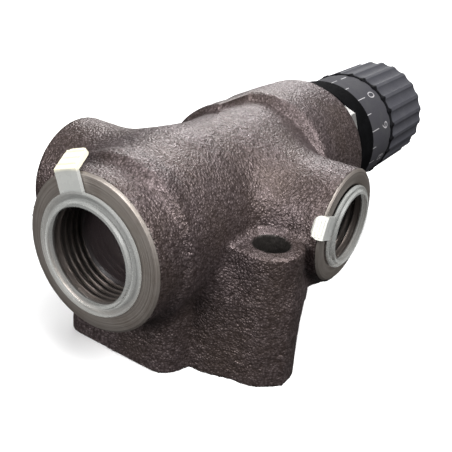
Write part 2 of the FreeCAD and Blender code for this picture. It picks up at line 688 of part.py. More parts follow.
def stop_groove():
    """Curved groove in the dial's front face, as long as the knob's travel."""
    pin_half = math.degrees(math.asin(STOP_PIN_R / STOP_PITCH_R)) + STOP_SPARE
    sweep = TURN_DOWN + TURN_UP + 2 * pin_half
    inner = STOP_PITCH_R - STOP_PIN_R - 0.3
    outer = STOP_PITCH_R + STOP_PIN_R + 0.3
    depth = STOP_PIN_OUT + 0.6
    section = Part.Face(Part.makePolygon([
        V(inner, 0, DIAL_AT - 1), V(outer, 0, DIAL_AT - 1), V(outer, 0, DIAL_AT + depth),
        V(inner, 0, DIAL_AT + depth), V(inner, 0, DIAL_AT - 1),
    ]))
    groove = section.revolve(V(0, 0, 0), V(0, 0, 1), -sweep)
    groove.rotate(V(0, 0, 0), V(0, 0, 1), -(STOP_ANGLE - TURN_DOWN - pin_half))
    return groove


def dial_screw_places():
    return [around(30 + 360 / DIAL_SCREW_COUNT * i) * DIAL_SCREW_PITCH_R
            for i in range(DIAL_SCREW_COUNT)]


def dial_screw_shape(place, grow):
    """Cap screw that runs from the dial's front face back into the grip."""
    head_at = DIAL_AT + 0.6
    head_end = head_at + DIAL_SCREW_HEAD
    end = GRIP_AT + DIAL_SCREW_GRIP
    start = head_at if grow == 0 else DIAL_AT - 1
    head = Part.makeCylinder(DIAL_SCREW_HEAD_R + grow, head_end - start,
                             V(place.x, place.y, start))
    shank = Part.makeCylinder(DIAL_SCREW_R + grow, end - head_end + grow,
                              V(place.x, place.y, head_end))
    screw = head.fuse(shank).removeSplitter()
    if grow:
        return screw
    socket = Part.makeCylinder(1.2, 1.3, V(place.x, place.y, head_at))
    return screw.cut(socket)


def dial_ring():
    """Graduated ring fixed to the grip."""
    shape = bevelled_ring(DIAL_R, HUB_R + CLAMP_GAP, DIAL_AT, DIAL_END, 0.4)
    cuts = [stop_groove()]
    for place in dial_screw_places():
        cuts.append(dial_screw_shape(place, CLAMP_GAP))
    return along_bore(shape.cut(cuts))


def dial_screws():
    return along_bore(Part.makeCompound([dial_screw_shape(p, 0) for p in dial_screw_places()]))


def grub_cut(angle, radius, start, end):
    """Radial cylinder through the knob at the grub screws' height."""
    direction = around(angle)
    height = GRIP_AT + GRUB_AT
    return Part.makeCylinder(radius, end - start,
                             V(direction.x * start, direction.y * start, height), direction)


def knob_grip():
    """Fluted grip bored for the hub, with a recessed end."""
    outer = GRIP_R
    bevel = 0.7
    shape = turned([
        (GRIP_AT, HUB_R + CLAMP_GAP), (GRIP_AT, outer - bevel), (GRIP_AT + bevel, outer),
        (GRIP_END - 1.2, outer), (GRIP_END, outer - 1.2), (GRIP_END, END_RECESS_R),
        (GRIP_END - END_RECESS, END_RECESS_R), (GRIP_END - END_RECESS, HUB_FLANGE_R + CLAMP_GAP),
        (HUB_END - HUB_FLANGE - CLAMP_GAP, HUB_FLANGE_R + CLAMP_GAP),
        (HUB_END - HUB_FLANGE - CLAMP_GAP, HUB_R + CLAMP_GAP),
    ])
    half = (2 * math.pi * outer / GRIP_RIDGES - GRIP_RIDGE_TIP) / 2
    flute_r = half * half / (2 * GRIP_FLUTE_DEPTH) + GRIP_FLUTE_DEPTH / 2
    centre_r = outer - GRIP_FLUTE_DEPTH + flute_r
    cuts = []
    for i in range(GRIP_RIDGES):
        place = around(RIDGE_PHASE + 360 / GRIP_RIDGES * (i + 0.5)) * centre_r
        cuts.append(Part.makeCylinder(flute_r, GRIP_LENGTH + 2, V(place.x, place.y, GRIP_AT - 1)))
    for angle in GRUB_ANGLES:
        cuts.append(grub_cut(angle, GRUB_R + 0.2, 0, outer + 2))
    for place in dial_screw_places():
        cuts.append(dial_screw_shape(place, CLAMP_GAP))
    return along_bore(shape.cut(cuts))


def knob_hub():
    """Metal hub pressed into the grip and clamped on the spindle."""
    bore = SHAFT_R + CLAMP_GAP
    shape = turned([
        (HUB_AT, bore), (HUB_AT, HUB_R - 0.5), (HUB_AT + 0.5, HUB_R),
        (HUB_END - HUB_FLANGE, HUB_R), (HUB_END - HUB_FLANGE, HUB_FLANGE_R),
        (HUB_END, HUB_FLANGE_R), (HUB_END, bore),
    ])
    cuts = [grub_cut(angle, GRUB_R + CLAMP_GAP, 0, HUB_R + 2) for angle in GRUB_ANGLES]
    return along_bore(shape.cut(cuts))


def grub_screws():
    """Two hexagon-socket grub screws that hold the hub on the spindle."""
    screws = []
    for angle in GRUB_ANGLES:
        direction = around(angle)
        body = grub_cut(angle, GRUB_R, SHAFT_R + 0.1, HUB_R + 1.5)
        socket = grub_cut(angle, 1.2, HUB_R - 0.2, HUB_R + 2.5)
        screws.append(body.cut(socket))
    return along_bore(Part.makeCompound(screws))


def knob_screw():
    """Cap screw that holds the hub to the end of the spindle."""
    head_at = HUB_END + SEAT
    shank_end = SHAFT_END - KNOB_SCREW_LENGTH + 3.0
    shape = turned([
        (shank_end, 0), (shank_end, KNOB_SCREW_R - CLAMP_GAP), (head_at, KNOB_SCREW_R - CLAMP_GAP),
        (head_at, SHAFT_R + 2.0), (head_at + 0.8, SHAFT_R + 2.0),
        (head_at + 0.8, KNOB_SCREW_HEAD_R), (head_at + KNOB_SCREW_HEAD - 0.4, KNOB_SCREW_HEAD_R),
        (head_at + KNOB_SCREW_HEAD, KNOB_SCREW_HEAD_R - 0.4),
        (head_at + KNOB_SCREW_HEAD, 0),
    ])
    socket = disc(2.0, head_at + 1.2, head_at + KNOB_SCREW_HEAD + 1)
    return along_bore(shape.cut(socket))


def knob_end_cover():
    """Pressed disc that closes the grip's recess."""
    end = GRIP_END - 0.6
    start = end - COVER_THICK
    shape = turned([
        (start, 0), (start, END_RECESS_R - CLAMP_GAP), (end - 0.3, END_RECESS_R - CLAMP_GAP),
        (end, END_RECESS_R - CLAMP_GAP - 0.3), (end, 0),
    ])
    return along_bore(shape)


NODES = {
    "valve_body": valve_body,
    "front_port_cap": front_port_cap,
    "right_port_cap": right_port_cap,
    "left_port_cap": left_port_cap,
    "retaining_ring": retaining_ring,
    "compensator_spool": compensator_spool,
    "compensator_spring": compensator_spring,
    "spring_seat": spring_seat,
    "throttle_sleeve": throttle_sleeve,
    "sleeve_dowel": sleeve_dowel,
    "sleeve_o_ring": sleeve_o_ring,
    "throttle_spindle": throttle_spindle,
    "thrust_washer": thrust_washer,
    "spindle_o_ring": spindle_o_ring,
    "backup_ring": backup_ring,
    "cartridge_bush": cartridge_bush,
    "bush_o_ring": bush_o_ring,
    "index_ring": index_ring,
    "stop_pin": stop_pin,
    "dial_ring": dial_ring,
    "dial_screws": dial_screws,
    "knob_grip": knob_grip,
    "knob_hub": knob_hub,
    "grub_screws": grub_screws,
    "knob_screw": knob_screw,
    "knob_end_cover": knob_end_cover,
}

os.makedirs("parts", exist_ok=True)
for name, build in NODES.items():
    build().exportStep(f"parts/{name}.step")
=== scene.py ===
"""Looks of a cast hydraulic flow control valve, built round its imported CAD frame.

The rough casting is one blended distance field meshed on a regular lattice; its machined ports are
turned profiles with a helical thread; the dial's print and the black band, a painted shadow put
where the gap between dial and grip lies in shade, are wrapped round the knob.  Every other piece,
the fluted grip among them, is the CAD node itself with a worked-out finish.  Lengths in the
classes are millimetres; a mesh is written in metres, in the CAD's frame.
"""

import itertools
import logging
import math
from dataclasses import dataclass, field
from enum import Enum
from typing import Callable, Sequence

import bpy
import numpy as np
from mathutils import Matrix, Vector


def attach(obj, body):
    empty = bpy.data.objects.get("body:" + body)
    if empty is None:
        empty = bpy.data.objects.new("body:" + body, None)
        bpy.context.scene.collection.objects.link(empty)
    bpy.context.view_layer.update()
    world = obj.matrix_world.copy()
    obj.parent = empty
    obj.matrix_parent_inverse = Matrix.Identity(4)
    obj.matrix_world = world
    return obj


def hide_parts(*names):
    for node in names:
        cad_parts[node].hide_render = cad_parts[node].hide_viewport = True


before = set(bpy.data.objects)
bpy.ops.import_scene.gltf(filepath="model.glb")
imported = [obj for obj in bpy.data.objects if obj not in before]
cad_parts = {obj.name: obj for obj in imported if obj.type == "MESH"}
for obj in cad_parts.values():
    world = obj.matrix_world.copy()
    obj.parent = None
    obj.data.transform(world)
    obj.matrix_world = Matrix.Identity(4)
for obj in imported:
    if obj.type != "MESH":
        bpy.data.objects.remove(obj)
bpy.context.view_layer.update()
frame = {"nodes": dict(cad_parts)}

MM = 0.001
AXIS_Z = 35.5        # height of the main bore
FRONT_Y = -43.25     # front port face
Array = np.ndarray
Colour = tuple[float, float, float]
log = logging.getLogger("valve")


# ---------------------------------------------------------------- mesh helpers
class Facing(Enum):
    """Direction in which a turned piece's axis runs, inwards from its face."""

    FRONT = "front"
    RIGHT = "right"
    LEFT = "left"


def write_mesh(name: str, points: Array, quads: Array, body: str) -> bpy.types.Object:
    """Puts whole arrays into a mesh object that rides on a CAD body.

    Args:
        name: the piece's name.
        points: N x 3 places in millimetres.
        quads: M x 4 or M x 3 corner numbers, counter-clockwise seen from outside.
        body: CAD body that the piece moves with.

    Returns:
        The object, at the origin, with its place in its mesh.
    """
    mesh = bpy.data.meshes.new(name)
    count, corners = quads.shape
    mesh.vertices.add(len(points))
    mesh.vertices.foreach_set("co", (points * MM).astype(np.float32).ravel())
    mesh.loops.add(count * corners)
    mesh.loops.foreach_set("vertex_index", quads.astype(np.int32).ravel())
    mesh.polygons.add(count)
    mesh.polygons.foreach_set("loop_start", np.arange(count, dtype=np.int32) * corners)
    mesh.update(calc_edges=True)
    mesh.validate()
    mesh.shade_smooth()
    piece = bpy.data.objects.new(name, mesh)
    bpy.context.scene.collection.objects.link(piece)
    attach(piece, body)
    return piece


def grid_quads(rows: int, columns: int, rows_close: bool, columns_close: bool) -> Array:
    """Corner numbers of a rows x columns grid of points, each way open or closed on itself.

    Args:
        rows: points down the grid.
        columns: points across the grid.
        rows_close: the last row joins the first.
        columns_close: the last column joins the first.

    Returns:
        M x 4 corner numbers.
    """
    i = np.arange(rows if rows_close else rows - 1)[:, None]
    j = np.arange(columns if columns_close else columns - 1)[None, :]
    i2, j2 = (i + 1) % rows, (j + 1) % columns
    quads = [i * columns + j, i * columns + j2, i2 * columns + j2, i2 * columns + j]
    return np.stack(np.broadcast_arrays(*quads), axis=-1).reshape(-1, 4)


def outward(points: Array, quads: Array) -> Array:
    """Turns every face over if the closed surface encloses a negative volume.

    Six times the volume is the sum of corner . (corner x corner) over the triangles.

    Args:
        points: N x 3 places.
        quads: M x 4 or M x 3 corner numbers.

    Returns:
        The corner numbers, counter-clockwise seen from outside.
    """
    a, b, c = points[quads[:, 0]], points[quads[:, 1]], points[quads[:, 2]]
    volume = np.einsum("ij,ij->i", a, np.cross(b, c)).sum()
    if quads.shape[1] == 4:
        d = points[quads[:, 3]]
        volume += np.einsum("ij,ij->i", a, np.cross(c, d)).sum()
    return quads if volume > 0 else quads[:, ::-1]


def lay(depth: Array, radius: Array, angle: Array, facing: Facing, face: float, y: float) -> Array:
    """Places turned points in the frame.

    A point stands at its depth inwards from the face, at its radius from the axis, at its angle
    round the axis.

    Args:
        depth: distances inwards from the face.
        radius: distances from the axis.
        angle: angles round the axis, in radians.
        facing: which port the axis belongs to.
        face: place of the face along its axis.
        y: place of a side port along the main bore.

    Returns:
        N x 3 places in millimetres.
    """
    u, v = radius * np.cos(angle), radius * np.sin(angle)
    if facing is Facing.FRONT:
        parts = (u, face + depth, AXIS_Z + v)
    elif facing is Facing.RIGHT:
        parts = (face - depth, y + u, AXIS_Z + v)
    else:
        parts = (face + depth, y - u, AXIS_Z + v)
    return np.stack(np.broadcast_arrays(*parts), axis=-1).reshape(-1, 3)


# ---------------------------------------------------------------- noise
def lattice_noise(points: Array, size: float, seed: int) -> Array:
    """Smooth value noise from -1 to 1 over millimetre places.

    Each lattice corner gets a hashed value; between corners the value follows the cubic
    3t^2 - 2t^3 along each axis in turn.

    Args:
        points: N x 3 places.
        size: lattice spacing.
        seed: chooses the pattern.

    Returns:
        N values.
    """
    scaled = points / size
    base = np.floor(scaled).astype(np.int64)
    t = scaled - base
    t = t * t * (3.0 - 2.0 * t)
    total = np.zeros(len(points))
    for corner in itertools.product((0, 1), repeat=3):
        cell = base + np.array(corner)
        key = (cell[:, 0] * 73856093) ^ (cell[:, 1] * 19349663) ^ (cell[:, 2] * 83492791)
        key = (key ^ (seed * 2654435761)) & 0x7FFFFFFF
        key = ((key ^ (key >> 13)) * 1274126177) & 0x7FFFFFFF
        key = ((key ^ (key >> 16)) * 668265263) & 0x7FFFFFFF
        value = key / 0x3FFFFFFF - 1.0
        weight = np.prod(np.where(np.array(corner) == 1, t, 1.0 - t), axis=1)
        total += weight * value
    return total


# ---------------------------------------------------------------- distance fields
def rod(radial: Array, along: Array, radius: float, start: float, end: float,
        rounding: float = 0.0) -> Array:
    """Distance to a capped round bar: the outside distance to a rectangle in (radial, along).

    Args:
        radial: distances from the bar's axis.
        along: places along it.
        radius: the bar's radius.
        start: where it begins.
        end: where it ends.
        rounding: radius of its end edges.

    Returns:
        Distances, negative inside.
    """
    q = radial - radius + rounding
    p = np.abs(along - (start + end) / 2) - (end - start) / 2 + rounding
    outside = np.hypot(np.maximum(q, 0), np.maximum(p, 0))
    return outside + np.minimum(np.maximum(q, p), 0) - rounding


def slab(x: Array, y: Array, low: Sequence[float], high: Sequence[float], round_r: float) -> Array:
    """Distance in plan to a rectangle with rounded corners.

    Args:
        x: places across.
        y: places along the bore.
        low: the rectangle's lowest corner.
        high: its highest corner.
        round_r: radius of its corners.

    Returns:
        Distances, negative inside.
    """
    p = np.abs(x - (low[0] + high[0]) / 2) - (high[0] - low[0]) / 2 + round_r
    q = np.abs(y - (low[1] + high[1]) / 2) - (high[1] - low[1]) / 2 + round_r
    return np.hypot(np.maximum(p, 0), np.maximum(q, 0)) + np.minimum(np.maximum(p, q), 0) - round_r


def upright(plan: Array, z: Array, top: float, rounding: float) -> Array:
    """Distance to a plan outline carried up from below the base to a rounded top edge.

    Args:
        plan: distances to the outline in plan.
        z: heights.
        top: height of the top.
        rounding: radius of the top edge.

    Returns:
        Distances, negative inside.
    """
    p, q = plan + rounding, z - top + rounding
    return np.hypot(np.maximum(p, 0), np.maximum(q, 0)) + np.minimum(np.maximum(p, q), 0) - rounding


def melt(a: Array, b: Array, fillet: float) -> Array:
    """Union of two distances with a fillet: min(a, b) less a parabola where they are close.

    Args:
        a: distances to one shape.
        b: distances to the other.
        fillet: how near to each other the distances are where the fillet begins.

    Returns:
        Distances to both shapes together.
    """
    near = np.maximum(1.0 - np.abs(a - b) / fillet, 0.0)
    return np.minimum(a, b) - near * near * fillet * 0.25


@dataclass
class Casting:
    """Rough sand-cast body: barrel, head, side bosses, foot, lugs, and the bores cut into it.

    Places along the bore are from the front port face.  Each bore is a radius, a start and an end.
    """

    lattice: float = 0.66
    boss_r: float = 19.0
    barrel_r: float = 20.06
    head_r: float = 22.57
    head_at: float = 69.6
    length: float = 95.5
    right_face: float = 36.0
    right_y: float = 53.9
    right_r: float = 14.9
    left_face: float = 34.1
    left_y: float = 30.7
    left_r: float = 15.75
    cut_back: float = 0.45
    lug: tuple[float, float] = (27.0, -10.75)
    lug_r: float = 8.0
    column_inner: float = 9.0
    hole_r: float = 4.5
    web: float = 15.0
    web_top: float = 27.0
    foot_top: float = 31.0
    foot_round: float = 6.0
    bores: tuple[tuple[float, float, float], ...] = ((14.6, -5.0, 17.3), (11.06, 10.0, 80.0),
                                                     (15.1, 74.0, 110.0))
    side_bore_r: float = 11.9
    side_bore_depth: float = 16.0
    side_passage_r: float = 8.1
    rough: float = 0.105
    wavy: float = 0.16

    def blank(self, x: Array, y: Array, z: Array) -> Array:
        """Distance to the casting before machining, with all its fillets.

        Args:
            x: places across.
            y: places along the bore, in the frame.
            z: heights.

        Returns:
            Distances, negative inside.
        """
        along, up = y - FRONT_Y, z - AXIS_Z
        radial = np.hypot(x, up)
        body = rod(radial, along, self.barrel_r, 10.0, 74.0)
        angle = np.arctan2(up, x)
        soft = 5.5 - 4.7 * np.exp(-((angle - 0.3) / 0.6) ** 2)
        body = melt(body, rod(radial, along, self.boss_r, -2.0, 12.0), soft)
        sector = np.abs(angle - math.radians(145.0)) * radial - math.radians(40.0) * radial
        reach = np.maximum(rod(radial, along, self.head_r - 0.3, 54.5, 75.0, 1.2), sector)
        body = melt(body, reach, 2.0)
        taper = 0.35 * np.clip((along - 74.0) / 20.0, 0.0, 1.0)
        head = rod(radial + taper, along, self.head_r, self.head_at, self.length, 2.4)
        body = melt(body, head, 0.8)
        right = rod(np.hypot(along - self.right_y, up), x, self.right_r, 0.0, self.right_face + 2)
        left = rod(np.hypot(along - self.left_y, up), -x, self.left_r, 0.0, self.left_face + 2)
        sweep = 2.0 + (self.web - 2.0) * np.clip((self.web_top - z) / 7.0, 0.0, 1.0)
        right = melt(right, self.lug_web(x, y, z), sweep)
        left = melt(left, self.lug_web(-x, -y, z), sweep)
        body = melt(body, right, 9.0)
        body = melt(body, left, 9.0)
        body = melt(body, self.base(x, y, z), 4.5)
        valley = 2.2 + 5.0 * np.clip((self.foot_top - z) / 9.0, 0.0, 1.0)
        body = melt(body, self.column(x, y, z), valley)
        return melt(body, self.column(-x, -y, z), valley)

    def column(self, x: Array, y: Array, z: Array) -> Array:
        """Distance to one lug's drafted column; the other lug's is asked for half a turn round.

        Args:
            x: places across.
            y: places along the bore, in the frame.
            z: heights.

        Returns:
            Distances, negative inside.
        """
        spread = self.lug_r + 1.2 * (1.0 - z / AXIS_Z)
        reach = np.maximum(x - self.lug[0], 0.0)
        plan = np.maximum(np.hypot(reach, y - self.lug[1]) - spread, self.column_inner - x)
        return upright(plan, z, AXIS_Z, 0.7)

    def lug_web(self, x: Array, y: Array, z: Array) -> Array:
        """Distance to the web behind one lug, under its boss; half a turn round for the other.

        Args:
            x: places across.
            y: places along the bore, in the frame.
            z: heights.

        Returns:
            Distances, negative inside.
        """
        slope = (x - 31.0) * 0.958 + (y + 10.75) * 0.287
        plan = np.maximum(np.maximum(slope, y - 20.0),
                          np.maximum(-y - 10.0, self.column_inner - x))
        return upright(plan, z, self.web_top, 2.0)

    def base(self, x: Array, y: Array, z: Array) -> Array:
        """Distance to the foot and the webs behind the two lugs.

        Args:
            x: places across.
            y: places along the bore, in the frame.
            z: heights.

        Returns:
            Distances, negative inside.
        """
        plan = np.minimum(slab(x, y, (-22.0, -30.35), (13.5, 21.75), self.foot_round),
                          slab(x, y, (-13.5, -21.75), (22.0, 30.35), self.foot_round))
        foot = upright(plan, z, self.foot_top, self.foot_round)
        for side in (1.0, -1.0):
            foot = melt(foot, self.lug_web(side * x, side * y, z), 4.0)
        return foot

    def cuts(self, x: Array, y: Array, z: Array) -> Array:
        """Distance into the machined-away space, positive inside it.

        The planes of the port faces and the base, the bores, and the two mounting holes.

        Args:
            x: places across.
            y: places along the bore, in the frame.
            z: heights.

        Returns:
            Distances, positive in the space cut away.
        """
        along, up = y - FRONT_Y, z - AXIS_Z
        radial = np.hypot(x, up)
        gone = np.maximum(self.cut_back - along, -z)
        for side, y0, face, boss in ((1.0, self.right_y, self.right_face, self.right_r),
                                     (-1.0, self.left_y, self.left_face, self.left_r)):
            near = boss + 2.0 - np.hypot(along - y0, up)
            gone = np.maximum(gone, np.minimum(side * x - face + self.cut_back, near))
        for radius, start, end in self.bores:
            gone = np.maximum(gone, -rod(radial, along, radius, start, end))
        for side, y0, face in ((1.0, self.right_y, self.right_face),
                               (-1.0, self.left_y, self.left_face)):
            off = np.hypot(along - y0, up)
            gone = np.maximum(gone, -rod(off, side * x, self.side_bore_r,
                                         face - self.side_bore_depth, face + 9.0))
            gone = np.maximum(gone, -rod(off, side * x, self.side_passage_r, 0.0, face))
        for side in (1.0, -1.0):
            off = np.hypot(side * x - self.lug[0], side * y - self.lug[1])
            gone = np.maximum(gone, self.hole_r - off)
        return gone

    def skin_noise(self, points: Array) -> Array:
        """Height of the sand-cast skin over the smooth blank.

        Broad waves, then peaks of about 2 mm and 1.2 mm, and here and there a sunk pit.

        Args:
            points: N x 3 places.

        Returns:
            N heights in millimetres.
        """
        broad = lattice_noise(points, 13.0, 11) * 0.6 + lattice_noise(points, 6.0, 12) * 0.4
        lumps = lattice_noise(points, 2.3, 13) * 0.55 + lattice_noise(points, 1.35, 14) * 0.45
        patch = 0.65 + 0.35 * lattice_noise(points, 16.0, 15)
        pits = np.clip(lattice_noise(points, 1.9, 16) - 0.62, 0.0, 1.0) * 1.1
        return self.wavy * broad + self.rough * 1.6 * lumps * patch - pits * self.rough * 2.0

    def mesh(self) -> tuple[Array, Array, Array]:
        """Meshes the field: one point in each lattice cell that the surface crosses.

        A cell's point is the mean of the crossings on its twelve edges; a lattice edge that
        changes sign gives a face through the four cells round it.  Each point is then moved
        along the field's gradient on to the rough surface.

        Returns:
            Points, faces, and for each point how far it belongs to a machined surface.
        """
        low = np.array([-37.5, FRONT_Y - 1.0, -1.3])
        high = np.array([37.5, FRONT_Y + self.length + 1.6, AXIS_Z + 24.2])
        sides = [np.arange(low[i], high[i], self.lattice) for i in range(3)]
        x, y, z = np.meshgrid(*sides, indexing="ij", sparse=True)
        value = np.maximum(self.blank(x, y, z), self.cuts(x, y, z)).astype(np.float32)
        shape = np.array(value.shape) - 1
        corner = {c: value[c[0]:c[0] + shape[0], c[1]:c[1] + shape[1], c[2]:c[2] + shape[2]]
                  for c in itertools.product((0, 1), repeat=3)}
        inside = sum((v < 0).astype(np.int8) for v in corner.values())
        cells = np.argwhere((inside > 0) & (inside < 8))
        number = np.full(shape, -1, dtype=np.int64)
        number[tuple(cells.T)] = np.arange(len(cells))
        total, hits = np.zeros((len(cells), 3)), np.zeros(len(cells))
        at = tuple(cells.T)
        for a, b in itertools.combinations(itertools.product((0, 1), repeat=3), 2):
            if sum(abs(p - q) for p, q in zip(a, b)) != 1:
                continue
            va, vb = corner[a][at].astype(float), corner[b][at].astype(float)
            crossed = (va < 0) != (vb < 0)
            t = np.where(crossed, va / np.where(crossed, va - vb, 1.0), 0.0)
            place = np.array(a) + t[:, None] * (np.array(b) - np.array(a))
            total += place * crossed[:, None]
            hits += crossed
        points = low + (cells + total / hits[:, None]) * self.lattice
        faces = np.concatenate([self.faces_across(value, number, axis) for axis in range(3)])
        return (*self.settle(points), faces)

    @staticmethod
    def faces_across(value: Array, number: Array, axis: int) -> Array:
        """Faces through the lattice edges that run along one axis and change sign.

        Args:
            value: the field at every lattice corner.
            number: each cell's point number.
            axis: 0, 1 or 2.

        Returns:
            M x 4 corner numbers.
        """
        v = np.moveaxis(value, axis, 0)
        n = np.moveaxis(number, axis, 0)
        start = v[:-1, 1:-1, 1:-1] < 0
        crossed = start != (v[1:, 1:-1, 1:-1] < 0)
        i, j, k = np.nonzero(crossed)
        quads = np.stack([n[i, j, k], n[i, j + 1, k], n[i, j + 1, k + 1], n[i, j, k + 1]], axis=1)
        flip = start[i, j, k] if axis != 1 else ~start[i, j, k]
        return np.where(flip[:, None], quads, quads[:, ::-1])

    def settle(self, points: Array) -> tuple[Array, Array]:
        """Moves points down the gradient of the machined rough surface's field.

        Three steps of place less distance times unit gradient, the gradient taken from central
        differences of the smooth field.

        Args:
            points: N x 3 places near the surface.

        Returns:
            The moved points, and how far each belongs to a machined surface, from 0 to 1.
        """
        step = 0.08
        rough = self.skin_noise(points)
        for _ in range(3):
            x, y, z = points.T
            skin, cut = self.blank(x, y, z) - rough, self.cuts(x, y, z)
            slope = np.zeros_like(points)
            for i in range(3):
                ahead, behind = points.copy(), points.copy()
                ahead[:, i] += step
                behind[:, i] -= step
                fore = np.maximum(self.blank(*ahead.T) - rough, self.cuts(*ahead.T))
                back = np.maximum(self.blank(*behind.T) - rough, self.cuts(*behind.T))
                slope[:, i] = (fore - back) / (2 * step)
            size = np.maximum(np.linalg.norm(slope, axis=1), 0.4)
            points = points - (np.maximum(skin, cut) / size ** 2)[:, None] * slope
        return points, np.clip((cut - skin + 0.25) / 0.3, 0.0, 1.0)

    def build(self) -> bpy.types.Object:
        """Makes the casting's object, which stands for the CAD body.

        Returns:
            The casting's object.
        """
        points, machined, faces = self.mesh()
        piece = write_mesh("body_casting", points, faces, "body")
        mark = piece.data.attributes.new("machined", "FLOAT", "POINT")
        mark.data.foreach_set("value", machined.astype(np.float32))
        piece.data.set_sharp_from_angle(angle=math.radians(52))
        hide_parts("valve_body")
        return piece


@dataclass
class ThreadedPort:
    """Machined face, bevels, pipe thread and drilled cone of one port, as a closed turned ring."""

    name: str
    facing: Facing
    face: float
    y: float
    rim_r: float
    root_r: float
    crest_r: float
    depth: float
    passage_r: float
    wall_r: float
    pitch: float = 1.814
    bevel: float = 0.55
    mouth: float = 0.8
    around: int = 160

    def build(self) -> bpy.types.Object:
        """Turns the profile, with the thread as a wave in radius.

        The wall's radius is the root less the thread height times a flat-topped wave of
        (depth + pitch * turns) / pitch, which closes on itself after one turn.

        Returns:
            The ring's object.
        """
        thread = np.arange(self.mouth, self.depth, self.pitch / 9)
        lead = [(self.bevel + 0.75, self.rim_r - 1.6), (self.bevel, self.rim_r),
                (self.bevel * 0.45, self.rim_r - 0.32), (0.05, self.rim_r - 0.55),
                (0.0, self.rim_r - 0.7), (0.0, self.root_r + self.mouth + 0.15),
                (0.06, self.root_r + self.mouth)]
        tail = [(self.depth + 0.1, self.root_r), (self.depth + 0.9, self.passage_r + 0.1),
                (self.depth + 1.0, self.passage_r), (self.depth + 1.6, self.passage_r),
                (self.depth + 1.6, self.wall_r), (1.6, self.wall_r), (1.5, self.rim_r - 2.2)]
        depth = np.concatenate([[p[0] for p in lead], thread, [p[0] for p in tail]])
        radius = np.concatenate([[p[1] for p in lead], np.full(len(thread), self.root_r),
                                 [p[1] for p in tail]])
        turn = np.arange(self.around) / self.around
        wave = np.cos(2 * math.pi * (depth[:, None] / self.pitch + turn[None, :]))
        tooth = np.clip(0.5 + 0.72 * wave, 0.0, 1.0)
        cut = np.clip((depth - self.mouth) / 1.4, 0, 1) * np.clip((self.depth - depth) / 1.6, 0, 1)
        cut[:len(lead)] = 0.0
        cut[-len(tail):] = 0.0
        r = radius[:, None] - (self.root_r - self.crest_r) * tooth * cut[:, None]
        points = lay(depth[:, None], r, 2 * math.pi * turn[None, :], self.facing, self.face, self.y)
        quads = outward(points, grid_quads(len(depth), self.around, True, True))
        piece = write_mesh(self.name, points, quads, "body")
        piece.data.set_sharp_from_angle(angle=math.radians(32))
        return piece


# ---------------------------------------------------------------- knob
@dataclass
class Dial:
    """Printed scale on the dial: long and short marks, and a number at every long one."""

    radius: float = 18.05
    lift: float = 0.03
    first: float = 91.4
    step: float = 18.0
    numbers: int = 10
    short: tuple[float, float] = (111.6, 114.8)
    long: tuple[float, float] = (111.1, 117.2)
    line: float = 0.26
    thin: float = 0.09
    digit_y: float = 121.9
    digit_height: float = 4.1

    def wrap(self, along: Array, across: Array, angle: float) -> Array:
        """Bends flat print on to the dial: across becomes arc length, along stays along the bore.

        Args:
            along: places along the bore, from the front port face.
            across: distances to the side of the print's middle.
            angle: the middle's angle round the bore, in degrees.

        Returns:
            Places in millimetres.
        """
        turn = math.radians(angle) - across / self.radius
        r = self.radius + self.lift
        return np.stack([r * np.cos(turn), FRONT_Y + along, AXIS_Z + r * np.sin(turn)], axis=-1)

    def marks(self) -> bpy.types.Object:
        """Makes every mark as a narrow curved strip, all in one mesh.

        Returns:
            The marks' object.
        """
        points, quads, count = [], [], 0
        for i in range(2 * self.numbers):
            start, end = self.long if i % 2 == 0 else self.short
            along, across = np.meshgrid(np.linspace(start, end, 6),
                                        np.linspace(-self.line / 2, self.line / 2, 3),
                                        indexing="ij")
            angle = self.first - self.step * i
            points.append(self.wrap(along.ravel(), across.ravel(), angle))
            quads.append(grid_quads(6, 3, False, False)[:, ::-1] + count)
            count += along.size
        return write_mesh("dial_marks", np.concatenate(points), np.concatenate(quads),
                          "knob")

    def digits(self) -> bpy.types.Object:
        """Makes the numbers from the built-in letter outlines, cut fine and bent on to the dial.

        A number's top is towards the grip.

        Returns:
            The numbers' object.
        """
        parts, places, count = [], [], 0
        for number in range(self.numbers):
            text = bpy.data.curves.new(f"digit_{number}", "FONT")
            text.body = str(number)
            text.size = self.digit_height / 0.7
            text.align_x, text.align_y = "CENTER", "CENTER"
            text.resolution_u = 5
            text.offset = -self.thin
            holder = bpy.data.objects.new(f"digit_{number}", text)
            bpy.context.scene.collection.objects.link(holder)
            bpy.context.view_layer.update()
            flat = bpy.data.meshes.new_from_object(holder.evaluated_get(
                bpy.context.evaluated_depsgraph_get()))
            flat.calc_loop_triangles()
            co = np.zeros(len(flat.vertices) * 3)
            flat.vertices.foreach_get("co", co)
            tri = np.zeros(len(flat.loop_triangles) * 3, dtype=np.int32)
            flat.loop_triangles.foreach_get("vertices", tri)
            co = co.reshape(-1, 3)
            angle = self.first + 2 * self.step * (number - 1)
            points = self.wrap(self.digit_y + co[:, 1], co[:, 0], angle)
            parts.append(tri.reshape(-1, 3) + count)
            places.append(points)
            count += len(points)
            bpy.data.objects.remove(holder)
            bpy.data.curves.remove(text)
            bpy.data.meshes.remove(flat)
        return write_mesh("dial_numbers", np.concatenate(places), np.concatenate(parts),
                          "knob")


